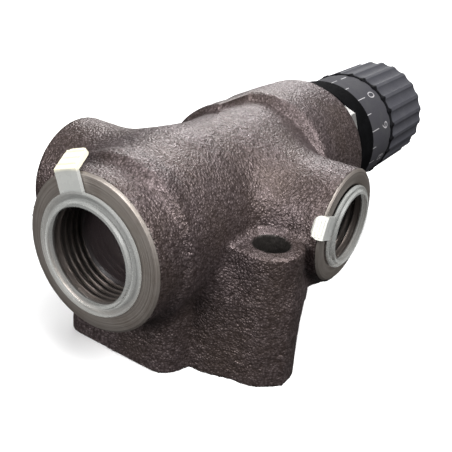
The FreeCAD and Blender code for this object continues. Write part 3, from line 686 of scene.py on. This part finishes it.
@dataclass
class SeamBand:
    """Thin black band between dial and grip, swollen to a bead at the foot of every ridge; painted
    shadow, a dark piece put where the gap at the grip's end face lies in shade.
    """

    ridges: int = 24
    phase: float = 1.0
    low: float = 126.60
    high: float = 127.85
    radius: float = 18.36
    bead: float = 2.4
    around: int = 720

    def build(self) -> bpy.types.Object:
        """Makes the band: a closed four-cornered section whose size follows the beads.

        The swelling is exp(-(d / bead)^2), where d is the angle to the nearest ridge.

        Returns:
            The band's object.
        """
        turn = np.linspace(0.0, 360.0, self.around, endpoint=False)
        pitch = 360.0 / self.ridges
        off = (turn - self.phase + pitch / 2) % pitch - pitch / 2
        swell = np.exp(-(off / self.bead) ** 2)
        low, high = self.low - 0.60 * swell, self.high + 1.10 * swell
        top = self.radius + 0.30 * swell
        depth = np.stack([low, low + 0.08, high - 0.08, high, high, low])
        inner = np.full_like(turn, self.radius - 0.9)
        radius = np.stack([top - 0.08, top, top, top - 0.08, inner, inner])
        points = lay(depth, radius, np.radians(turn)[None, :], Facing.FRONT, FRONT_Y, 0.0)
        quads = outward(points, grid_quads(len(depth), self.around, True, True))
        piece = write_mesh("gap_shadow_band", points, quads, "knob")
        piece.data.set_sharp_from_angle(angle=math.radians(60))
        return piece


# ---------------------------------------------------------------- finishes
class Sheet:
    """Short hand for one material's node tree, on Object coordinates."""

    def __init__(self, name: str) -> None:
        """Starts a material with an empty tree and its output.

        Args:
            name: the material's name.
        """
        self.material = bpy.data.materials.new(name)
        self.material.use_nodes = True
        self.tree = self.material.node_tree
        self.tree.nodes.clear()
        self.output = self.node("ShaderNodeOutputMaterial")

    def node(self, kind: str, settings: dict[str, object] | None = None,
             **inputs: object) -> bpy.types.Node:
        """Adds a node.

        Args:
            kind: Blender's node type.
            settings: values of the node's own properties.
            inputs: sockets by name with blanks as underscores; a socket value is linked, any
                other is set.

        Returns:
            The node.
        """
        made = self.tree.nodes.new(kind)
        for key, value in (settings or {}).items():
            setattr(made, key, value)
        for key, value in inputs.items():
            target = made.inputs[int(key[1:])] if key[0] == "_" else made.inputs[
                key.replace("_", " ")]
            if isinstance(value, bpy.types.NodeSocket):
                self.tree.links.new(value, target)
            else:
                target.default_value = value
        return made

    def place(self, centre: Sequence[float] = (0.0, 0.0, 0.0)) -> bpy.types.NodeSocket:
        """Object coordinates, moved so that a point in millimetres is their origin.

        Args:
            centre: the point.

        Returns:
            The moved coordinates.
        """
        coordinates = self.node("ShaderNodeTexCoord").outputs["Object"]
        shift = tuple(-c * MM for c in centre)
        return self.node("ShaderNodeMapping", Vector=coordinates, Location=shift).outputs["Vector"]

    def noise(self, where: bpy.types.NodeSocket, size: float, detail: float = 2.0,
              roughness: float = 0.5) -> bpy.types.NodeSocket:
        """Noise whose features are about the given millimetres across.

        Args:
            where: coordinates.
            size: width of a feature.
            detail: how many finer layers are added.
            roughness: how strong they are.

        Returns:
            Values from 0 to 1.
        """
        return self.node("ShaderNodeTexNoise", Vector=where, Scale=1.0 / (size * MM),
                         Detail=detail, Roughness=roughness).outputs["Fac"]

    def cells(self, where: bpy.types.NodeSocket,
              size: float) -> tuple[bpy.types.NodeSocket, bpy.types.NodeSocket]:
        """Grains of about the given millimetres.

        Args:
            where: coordinates.
            size: width of a grain.

        Returns:
            A height that peaks at each grain's middle, and a value that differs between grains.
        """
        made = self.node("ShaderNodeTexVoronoi", {"feature": "SMOOTH_F1"}, Vector=where,
                         Scale=1.0 / (size * MM), Smoothness=0.35)
        split = self.node("ShaderNodeSeparateColor", _0=made.outputs["Color"])
        return self.span(made.outputs["Distance"], 1.0, 0.0, 0.0, 0.85), split.outputs[0]

    def ramp(self, factor: bpy.types.NodeSocket,
             stops: Sequence[tuple[float, Colour]]) -> bpy.types.NodeSocket:
        """Colour between stops.

        Args:
            factor: the value that picks the colour.
            stops: positions with their colours.

        Returns:
            The colour.
        """
        made = self.node("ShaderNodeValToRGB", Fac=factor)
        band = made.color_ramp.elements
        while len(band) < len(stops):
            band.new(0.5)
        for element, (position, colour) in zip(band, stops):
            element.position = position
            element.color = (*colour, 1.0)
        return made.outputs["Color"]

    def span(self, factor: bpy.types.NodeSocket, low: float, high: float,
             start: float = 0.0, end: float = 1.0) -> bpy.types.NodeSocket:
        """Value that goes from low to high as the factor goes from start to end.

        Args:
            factor: the value to follow.
            low: result at the start.
            high: result at the end.
            start: factor at which the change begins.
            end: factor at which it is complete.

        Returns:
            The value.
        """
        made = self.node("ShaderNodeMapRange", Value=factor)
        for key, value in (("From Min", start), ("From Max", end), ("To Min", low),
                           ("To Max", high)):
            made.inputs[key].default_value = value
        return made.outputs["Result"]

    def mix(self, factor: bpy.types.NodeSocket, a: object, b: object) -> bpy.types.NodeSocket:
        """Colour between two colours or sockets.

        Args:
            factor: 0 for the first, 1 for the second.
            a: first colour.
            b: second colour.

        Returns:
            The colour.
        """
        made = self.node("ShaderNodeMix", {"data_type": "RGBA"}, _0=factor)
        for index, value in ((6, a), (7, b)):
            if isinstance(value, bpy.types.NodeSocket):
                self.tree.links.new(value, made.inputs[index])
            else:
                made.inputs[index].default_value = (*value, 1.0)
        return made.outputs[2]

    def maths(self, operation: str, a: object, b: object) -> bpy.types.NodeSocket:
        """One sum of two values or sockets."""
        return self.node("ShaderNodeMath", {"operation": operation}, _0=a, _1=b).outputs[0]

    def bump(self, height: bpy.types.NodeSocket, depth: float,
             below: bpy.types.NodeSocket | None = None,
             strength: object = 1.0) -> bpy.types.NodeSocket:
        """Normal of a surface raised by the height times the given millimetres.

        Args:
            height: heights from 0 to 1.
            depth: what a height of 1 stands for.
            below: normal of a bump under this one.
            strength: share of the bump that shows, a number or a socket.

        Returns:
            The normal.
        """
        made = self.node("ShaderNodeBump", Height=height, Distance=depth * MM, Strength=strength)
        if below is not None:
            self.tree.links.new(below, made.inputs["Normal"])
        return made.outputs["Normal"]

    def shader(self, **inputs: object) -> bpy.types.Node:
        """Adds the principled shader and links it to the output.

        Args:
            inputs: sockets by name with blanks as underscores.

        Returns:
            The shader.
        """
        made = self.node("ShaderNodeBsdfPrincipled", **inputs)
        self.tree.links.new(made.outputs[0], self.output.inputs[0])
        return made


@dataclass(frozen=True)
class CastSkin:
    """Sand-cast iron: dark purple-brown, sandy grain with painted shade in its hollows and a
    painted highlight on its tips, machined places plain.
    """

    # painted shade for the grain's hollows and painted highlight for its tips; ground is the iron's
    # own tone
    hollow: Colour = (0.052, 0.038, 0.037)
    ground: Colour = (0.096, 0.073, 0.074)
    tip: Colour = (0.205, 0.166, 0.166)
    brown: Colour = (0.060, 0.042, 0.032)
    machined: Colour = (0.045, 0.04, 0.037)

    def material(self) -> bpy.types.Material:
        """Builds the material: patches, grain, sparkle, and the machined share from the mesh.

        Returns:
            The material.
        """
        s = Sheet("cast_iron_skin")
        where = s.place()
        patch = s.noise(where, 18.0, 3.0)
        lumps = s.noise(where, 1.7, 2.0, 0.55)
        grain, glint = s.cells(where, 0.62)
        fine, _ = s.cells(where, 0.33)
        height = s.maths("ADD", s.maths("MULTIPLY", lumps, 0.5), s.maths("MULTIPLY", grain, 0.5))
        # tone follows the grain's height: painted shade in the hollows, painted highlight on the
        # tips
        shade = s.ramp(height, ((0.30, self.hollow), (0.52, self.ground), (0.78, self.tip)))
        worn = s.mix(s.span(patch, 0.0, 0.5, 0.42, 0.68), shade, self.brown)
        mark = s.node("ShaderNodeAttribute", {"attribute_name": "machined"}).outputs["Fac"]
        colour = s.mix(mark, worn, self.machined)
        gloss = s.span(glint, 0.26, 0.56)
        rough = s.span(mark, 1.0, 0.1)
        normal = s.bump(lumps, 0.27, strength=rough)
        normal = s.bump(grain, 0.15, normal, rough)
        normal = s.bump(fine, 0.07, normal, rough)
        s.shader(Base_Color=colour, Metallic=0.62, Roughness=gloss, Normal=normal)
        return s.material


@dataclass(frozen=True)
class TurnedIron:
    """Machined iron: fine rings round a port's axis, faint stains, and some rings brighter."""

    name: str
    axis: Facing
    centre: tuple[float, float, float]
    bore_r: float
    colour: Colour = (0.285, 0.252, 0.228)
    stain: Colour = (0.20, 0.165, 0.14)
    bright: Colour = (0.46, 0.43, 0.40)
    # painted shade: tone inside the thread's root radius, for the shaded bore
    bore: Colour = (0.085, 0.070, 0.062)
    ring: float = 0.32

    def material(self) -> bpy.types.Material:
        """Builds the material: ring distance is the length of the place across the axis.

        Returns:
            The material.
        """
        s = Sheet(self.name)
        where = s.place(self.centre)
        flat = (1.0, 0.0, 1.0) if self.axis is Facing.FRONT else (0.0, 1.0, 1.0)
        across = s.node("ShaderNodeVectorMath", {"operation": "MULTIPLY"}, _0=where,
                        _1=flat).outputs["Vector"]
        radius = s.node("ShaderNodeVectorMath", {"operation": "LENGTH"}, _0=across).outputs["Value"]
        turns = s.maths("MULTIPLY", radius, 1.0 / (self.ring * MM))
        rings = s.node("ShaderNodeTexNoise", {"noise_dimensions": "1D"}, W=turns, Scale=1.0,
                       Detail=2.0).outputs["Fac"]
        blot = s.noise(where, 7.0, 4.0, 0.65)
        fleck = s.noise(where, 0.7, 2.0)
        tone = s.mix(s.span(blot, 0.0, 0.75, 0.45, 0.72), self.colour, self.stain)
        tone = s.mix(s.span(rings, 0.0, 0.22, 0.35, 0.65), tone, self.bright)
        # painted shade: threads and passage inside the root radius are darkened for the shaded bore
        inside = s.span(radius, 1.0, 0.0, self.bore_r * MM, (self.bore_r + 0.5) * MM)
        tone = s.mix(inside, tone, self.bore)
        gloss = s.span(rings, 0.36, 0.52, 0.3, 0.7)
        normal = s.bump(fleck, 0.04, s.bump(rings, 0.05))
        s.shader(Base_Color=tone, Metallic=0.78, Roughness=gloss, Normal=normal)
        return s.material


@dataclass(frozen=True)
class FilmPlastic:
    """Thin moulded polythene: a nearly clear cup, a cloudier flange, and a milky pull tab.

    The cup's floor is tinted dark as painted shade, standing in for the unlit bore behind it.
    """

    name: str
    axis: Facing
    centre: tuple[float, float, float]
    cup_r: float
    flange_r: float
    rim_r: float
    seat: float
    depth: float
    end: Colour
    colour: Colour = (0.60, 0.61, 0.59)
    thin: Colour = (0.10, 0.10, 0.10)
    # painted shade: the cup floor's dark tint stands in for the unlit bore behind it
    floor: Colour = (0.026, 0.019, 0.020)
    clear: float = 0.02
    cloudy: float = 0.14
    strip: float = 0.36
    milky: float = 0.72
    lip: float = 0.20
    hem: float = 0.10
    # opacity of the painted shade on the cup's floor
    floor_cover: float = 0.75

    def material(self) -> bpy.types.Material:
        """Builds the material: cover and tint step up with distance from the port's axis.

        Returns:
            The material.
        """
        s = Sheet(self.name)
        where = s.place(self.centre)
        flat = (1.0, 0.0, 1.0) if self.axis is Facing.FRONT else (0.0, 1.0, 1.0)
        across = s.node("ShaderNodeVectorMath", {"operation": "MULTIPLY"}, _0=where,
                        _1=flat).outputs["Vector"]
        radius = s.node("ShaderNodeVectorMath", {"operation": "LENGTH"}, _0=across).outputs["Value"]
        cup, flange = self.cup_r * MM, self.flange_r * MM
        inward = {Facing.FRONT: (0.0, 1.0, 0.0), Facing.RIGHT: (-1.0, 0.0, 0.0),
                  Facing.LEFT: (1.0, 0.0, 0.0)}[self.axis]
        deep = s.node("ShaderNodeVectorMath", {"operation": "DOT_PRODUCT"}, _0=where,
                      _1=inward).outputs["Value"]
        outside = s.span(deep, 1.0, 0.0, -self.seat * MM, (0.3 - self.seat) * MM)
        on_flange = s.span(radius, 0.0, 1.0, cup - 0.0007, cup - 0.0002)
        on_tab = s.span(radius, 0.0, 1.0, flange - 0.0002, flange + 0.0003)
        on_flange = s.maths("MAXIMUM", s.maths("MULTIPLY", on_flange, outside), on_tab)
        lip = s.maths("MULTIPLY", on_flange, s.span(radius, 1.0, 0.0, cup + 0.0008, cup + 0.0012))
        hem = s.maths("MULTIPLY", on_flange,
                      s.span(radius, 0.0, 1.0, flange - 0.0006, flange - 0.0003))
        # painted shade: the cup's floor is made more opaque and dark, for the unlit bore behind it
        floor_at = (self.depth - self.seat) * MM
        floor_shade_mask = s.span(deep, 0.0, 1.0, floor_at - 0.00066, floor_at - 0.00056)
        floor_shade_mask = s.maths("MULTIPLY", floor_shade_mask, s.span(radius, 1.0, 0.0, cup, cup + 0.0002))
        rim = self.rim_r * MM
        on_end = s.span(radius, 0.0, 1.0, rim + 0.0002, rim + 0.0009)
        cloud = s.noise(where, 3.0, 3.0)
        edge = s.node("ShaderNodeLayerWeight", Blend=0.3).outputs["Facing"]
        cover = s.maths("ADD", s.maths("MULTIPLY", on_flange, self.cloudy - self.clear),
                        s.maths("MULTIPLY", on_tab, self.strip - self.cloudy))
        cover = s.maths("ADD", cover, s.maths("MULTIPLY", on_end, self.milky - self.strip))
        cover = s.maths("ADD", cover, s.maths("MULTIPLY", lip, self.lip))
        cover = s.maths("ADD", cover, s.maths("MULTIPLY", hem, self.hem))
        cover = s.maths("ADD", cover, s.maths("MULTIPLY", floor_shade_mask, self.floor_cover))
        cover = s.maths("ADD", cover, s.span(cloud, self.clear - 0.01, self.clear + 0.03, 0.3, 0.7))
        cover = s.maths("ADD", cover, s.span(edge, 0.0, 0.05, 0.4, 1.0))
        tone = s.mix(on_flange, self.thin, s.mix(on_end, self.colour, self.end))
        # painted shade on the cup's floor
        tone = s.mix(floor_shade_mask, tone, self.floor)
        s.shader(Base_Color=tone, Alpha=cover, Roughness=s.span(cloud, 0.20, 0.34),
                 Normal=s.bump(s.noise(where, 1.6, 2.0), 0.05))
        return s.material


@dataclass(frozen=True)
class Metal:
    """Turned, ground or plated metal with fine scratches along one direction."""

    name: str
    colour: Colour
    shade: Colour
    low: float = 0.18
    high: float = 0.34
    stretch: tuple[float, float, float] = (1.0, 0.12, 1.0)

    def material(self) -> bpy.types.Material:
        """Builds the material: noise drawn out along the bore, over soft blotches.

        Returns:
            The material.
        """
        s = Sheet(self.name)
        where = s.place((0.0, 0.0, AXIS_Z))
        drawn = s.node("ShaderNodeMapping", Vector=where, Scale=self.stretch).outputs["Vector"]
        lines = s.noise(drawn, 0.35, 3.0, 0.6)
        blot = s.noise(where, 5.0, 3.0)
        tone = s.mix(s.span(blot, 0.0, 1.0, 0.35, 0.7), self.colour, self.shade)
        s.shader(Base_Color=tone, Metallic=1.0, Roughness=s.span(lines, self.low, self.high,
                                                                 0.3, 0.7),
                 Normal=s.bump(lines, 0.012))
        return s.material


@dataclass(frozen=True)
class Moulded:
    """Moulded or anodised dark surface with a fine even grain, and slightly paler rubbed places."""

    name: str
    colour: Colour
    rubbed: Colour
    low: float = 0.38
    high: float = 0.55
    grain: float = 0.3
    relief: float = 0.03
    metallic: float = 0.0
    shine: float = 0.5

    def material(self) -> bpy.types.Material:
        """Builds the material: grain in roughness and bump, rubbing in colour.

        Returns:
            The material.
        """
        s = Sheet(self.name)
        where = s.place((0.0, 0.0, AXIS_Z))
        grain = s.noise(where, self.grain, 2.0, 0.6)
        rub = s.noise(where, 4.0, 4.0, 0.6)
        tone = s.mix(s.span(rub, 0.0, 1.0, 0.45, 0.72), self.colour, self.rubbed)
        made = s.shader(Base_Color=tone, Metallic=self.metallic,
                        Roughness=s.span(grain, self.low, self.high, 0.3, 0.7),
                        Normal=s.bump(grain, self.relief))
        made.inputs["Specular IOR Level"].default_value = self.shine
        return s.material


@dataclass(frozen=True)
class PalePrint:
    """Pale printed ink with slightly worn strokes."""

    ink: Colour = (0.36, 0.35, 0.36)
    worn: Colour = (0.17, 0.17, 0.18)

    def material(self) -> bpy.types.Material:
        """Builds the material: ink colour broken by fine noise.

        Returns:
            The material.
        """
        s = Sheet("pale_print")
        where = s.place()
        wear = s.noise(where, 0.5, 3.0)
        tone = s.mix(s.span(wear, 0.0, 0.6, 0.5, 0.75), self.ink, self.worn)
        s.shader(Base_Color=tone, Roughness=s.span(wear, 0.45, 0.65))
        return s.material


def dress(piece: bpy.types.Object, material: bpy.types.Material) -> None:
    """Gives a piece one material, in every slot that it has.

    Args:
        piece: the piece.
        material: its material.
    """
    if not piece.data.materials:
        piece.data.materials.append(material)
    for holder in piece.material_slots:
        holder.link = "OBJECT"
        holder.material = material


# ---------------------------------------------------------------- sub-assemblies
@dataclass
class BodyAssembly:
    """Casting with its three machined ports."""

    casting: Casting = field(default_factory=Casting)

    def ports(self) -> list[ThreadedPort]:
        """Lists the three ports, from the casting's sizes.

        Returns:
            The ports.
        """
        c = self.casting
        return [
            ThreadedPort("front_port_machining", Facing.FRONT, FRONT_Y, 0.0, c.boss_r,
                         13.22, 12.06, 16.5, 11.0, 15.0),
            ThreadedPort("right_port_machining", Facing.RIGHT, c.right_face,
                         FRONT_Y + c.right_y, c.right_r, 10.48, 9.32, 15.0, 8.0, 12.3),
            ThreadedPort("left_port_machining", Facing.LEFT, -c.left_face,
                         FRONT_Y + c.left_y, c.left_r, 10.48, 9.32, 15.0, 8.0, 12.3),
        ]

    def build(self) -> None:
        """Builds and dresses the casting and the ports."""
        piece = self.casting.build()
        dress(piece, CastSkin().material())
        log.info("%s: %d faces", piece.name, len(piece.data.polygons))
        for port in self.ports():
            made = port.build()
            finish = TurnedIron(f"{port.name}_turned", port.facing, (0.0, port.y, AXIS_Z),
                                port.root_r + 0.1)
            dress(made, finish.material())
            log.info("%s: %d faces", made.name, len(made.data.polygons))


@dataclass
class KnobAssembly:
    """Dial with its printed scale, grip, index ring and hexagon."""

    dial: Dial = field(default_factory=Dial)

    def build(self) -> None:
        """Builds the print and dresses the knob's CAD nodes."""
        ink = PalePrint().material()
        for piece in (self.dial.marks(), self.dial.digits()):
            dress(piece, ink)
            log.info("%s: %d faces", piece.name, len(piece.data.polygons))
        # painted shadow: a black band put where the gap between dial and grip lies in shade
        band = SeamBand().build()
        dress(band, Moulded("gap_shadow_black", (0.004, 0.004, 0.005), (0.008, 0.008, 0.009), 0.7,
                            0.85, shine=0.05).material())
        log.info("%s: %d faces", band.name, len(band.data.polygons))
        nodes = frame["nodes"]
        dial = Moulded("dial_coat", (0.033, 0.032, 0.038), (0.040, 0.040, 0.043), 0.78, 0.9,
                       shine=0.3)
        grip = Moulded("grip_coat", (0.040, 0.040, 0.048), (0.050, 0.050, 0.057), 0.6, 0.75,
                       shine=0.25)
        index = Moulded("index_coat", (0.0022, 0.0022, 0.0025), (0.004, 0.004, 0.0045), 0.75,
                        0.9, shine=0.03)
        dress(nodes["dial_ring"], dial.material())
        dress(nodes["knob_grip"], grip.material())
        dress(nodes["index_ring"], index.material())
        dress(nodes["cartridge_bush"], Metal("plated_hexagon", (0.80, 0.79, 0.77),
                                             (0.66, 0.65, 0.63), 0.42, 0.58).material())


@dataclass
class InnerWorks:
    """CAD nodes that stay as they are, each with the finish of its stuff."""

    def finishes(self) -> dict[str, tuple[Callable[[], bpy.types.Material], tuple[str, ...]]]:
        """Lists each finish by name, with the nodes that take it.

        Returns:
            Finish name to the maker of its material and the nodes' names.
        """
        steel = Metal("ground_steel", (0.33, 0.32, 0.32), (0.24, 0.23, 0.23), 0.3, 0.45)
        spring = Metal("spring_wire", (0.30, 0.30, 0.32), (0.22, 0.22, 0.24))
        bronze = Metal("bearing_bronze", (0.56, 0.36, 0.17), (0.42, 0.26, 0.12))
        light = Metal("hub_alloy", (0.68, 0.68, 0.69), (0.55, 0.55, 0.57), 0.3, 0.45)
        rubber = Moulded("seal_rubber", (0.012, 0.012, 0.012), (0.025, 0.025, 0.025), 0.5, 0.7)
        backing = Moulded("backup_plastic", (0.62, 0.60, 0.55), (0.5, 0.48, 0.44))
        cover = Moulded("end_cover", (0.028, 0.031, 0.040), (0.05, 0.055, 0.062), 0.3, 0.45)
        black = Metal("blackened_screw", (0.05, 0.05, 0.055), (0.09, 0.09, 0.095), 0.3, 0.45)
        return {
            "steel": (steel.material, ("compensator_spool", "throttle_sleeve", "throttle_spindle",
                                       "sleeve_dowel", "spring_seat", "stop_pin")),
            "spring": (spring.material, ("compensator_spring", "retaining_ring")),
            "bronze": (bronze.material, ("thrust_washer",)),
            "light": (light.material, ("knob_hub",)),
            "rubber": (rubber.material, ("sleeve_o_ring", "spindle_o_ring", "bush_o_ring")),
            "backing": (backing.material, ("backup_ring",)),
            "cover": (cover.material, ("knob_end_cover",)),
            "black": (black.material, ("dial_screws", "grub_screws", "knob_screw")),
        }

    def build(self) -> None:
        """Dresses the nodes."""
        for name, (make, nodes) in self.finishes().items():
            material = make()
            for node in nodes:
                dress(frame["nodes"][node], material)
            log.info("%s: %s", name, ", ".join(nodes))


@dataclass
class CapAssembly:
    """Three thin moulded transit caps."""

    def build(self) -> None:
        """Dresses the caps' CAD nodes."""
        warm, plain = (0.88, 0.84, 0.66), (0.80, 0.80, 0.74)
        for node, axis, y, cup_r, flange_r, rim_r, seat, depth, end in (
            ("front_port_cap", Facing.FRONT, 0.0, 11.96, 14.7, 19.0, -FRONT_Y, 10.0, warm),
            ("right_port_cap", Facing.RIGHT, 10.65, 9.22, 10.9, 14.9, 36.0, 9.0, plain),
            ("left_port_cap", Facing.LEFT, -12.55, 9.22, 10.9, 15.75, 34.1, 9.0, plain),
        ):
            film = FilmPlastic(f"{node}_film", axis, (0.0, y, AXIS_Z), cup_r, flange_r, rim_r,
                               seat, depth, end)
            dress(frame["nodes"][node], film.material())
            log.info("%s dressed", node)


# ---------------------------------------------------------------- studio
@dataclass
class Lamp:
    """Square soft light."""

    name: str
    place: tuple[float, float, float]
    aim: tuple[float, float, float]
    power: float
    size: float
    colour: Colour = (1.0, 1.0, 1.0)

    def build(self) -> None:
        """Adds the light, pointed at its aim."""
        light = bpy.data.lights.new(self.name, "AREA")
        light.energy, light.size, light.color = self.power, self.size, self.colour
        holder = bpy.data.objects.new(self.name, light)
        bpy.context.scene.collection.objects.link(holder)
        place, aim = Vector(self.place), Vector(self.aim)
        holder.location = place
        holder.rotation_euler = (aim - place).to_track_quat("-Z", "Y").to_euler()


@dataclass
class Studio:
    """Pale floor, soft light from above, and the camera."""

    eye: tuple[float, float, float] = (0.0964, -0.14495, 0.1138)
    yaw: float = 31.58
    pitch: float = 26.43
    roll: float = 5.50
    lens: float = 57.27
    film: float = 36.0
    floor_half: float = 4.0
    middle: tuple[float, float, float] = (0.0, 0.02, 0.03)

    def camera(self) -> None:
        """Adds the camera: turned to its yaw, tipped down by its pitch, leaned by its roll."""
        yaw, pitch, roll = (math.radians(a) for a in (self.yaw, self.pitch, self.roll))
        ahead = Vector((-math.sin(yaw) * math.cos(pitch), math.cos(yaw) * math.cos(pitch),
                           -math.sin(pitch)))
        side = Vector((math.cos(yaw), math.sin(yaw), 0.0))
        top = side.cross(ahead)
        across = side * math.cos(roll) + top * math.sin(roll)
        up = top * math.cos(roll) - side * math.sin(roll)
        lens = bpy.data.cameras.new("camera")
        lens.lens, lens.sensor_width, lens.clip_start = self.lens, self.film, 0.005
        holder = bpy.data.objects.new("camera", lens)
        bpy.context.scene.collection.objects.link(holder)
        turned = Matrix((across, up, -ahead)).transposed().to_4x4()
        turned.translation = Vector(self.eye)
        holder.matrix_world = turned
        bpy.context.scene.camera = holder

    def floor(self) -> None:
        """Adds the floor: a flat pale square that lights nothing back."""
        mesh = bpy.data.meshes.new("floor")
        half = self.floor_half
        mesh.from_pydata([(-half, -half, 0), (half, -half, 0), (half, half, 0), (-half, half, 0)],
                         [], [(0, 1, 2, 3)])
        floor = bpy.data.objects.new("floor", mesh)
        bpy.context.scene.collection.objects.link(floor)
        s = Sheet("floor_paper")
        fleck = s.noise(s.place(), 60.0, 2.0)
        s.shader(Base_Color=s.mix(fleck, (0.93, 0.93, 0.93), (0.95, 0.95, 0.95)), Roughness=0.9)
        mesh.materials.append(s.material)
        floor.visible_diffuse = False
        floor.visible_glossy = False

    def sky(self) -> None:
        """Sets the even surrounding light, brighter from above."""
        world = bpy.data.worlds.new("studio")
        bpy.context.scene.world = world
        world.use_nodes = True
        nodes, links = world.node_tree.nodes, world.node_tree.links
        nodes.clear()
        where = nodes.new("ShaderNodeTexCoord")
        split = nodes.new("ShaderNodeSeparateXYZ")
        band = nodes.new("ShaderNodeValToRGB")
        glow = nodes.new("ShaderNodeBackground")
        out = nodes.new("ShaderNodeOutputWorld")
        links.new(where.outputs["Generated"], split.inputs[0])
        links.new(split.outputs["Z"], band.inputs[0])
        links.new(band.outputs[0], glow.inputs[0])
        links.new(glow.outputs[0], out.inputs[0])
        band.color_ramp.elements[0].position = 0.0
        band.color_ramp.elements[0].color = (0.10, 0.10, 0.10, 1.0)
        band.color_ramp.elements[1].position = 0.85
        band.color_ramp.elements[1].color = (0.9, 0.9, 0.9, 1.0)
        glow.inputs["Strength"].default_value = 0.5

    def build(self) -> None:
        """Sets up the whole studio."""
        self.camera()
        self.floor()
        self.sky()
        middle = self.middle
        for lamp in (
            Lamp("overhead_softbox", (0.10, 0.12, 0.70), middle, 3.2, 0.45),
            Lamp("right_softbox", (0.48, -0.12, 0.50), middle, 5.6, 0.34),
            Lamp("front_softbox", (-0.10, -0.70, 0.35), middle, 6.0, 0.40),
            Lamp("back_softbox", (-0.35, 0.55, 0.40), middle, 3.0, 0.35),
        ):
            lamp.build()
        view = bpy.context.scene.view_settings
        view.view_transform, view.look = "Standard", "None"
        log.info("studio ready")


def main() -> None:
    """Builds every sub-assembly in order."""
    logging.basicConfig(level=logging.INFO, format="%(name)s %(message)s")
    for part in (BodyAssembly(), CapAssembly(), KnobAssembly(), InnerWorks(), Studio()):
        part.build()
    bpy.context.view_layer.update()


if __name__ == "__main__":
    main()
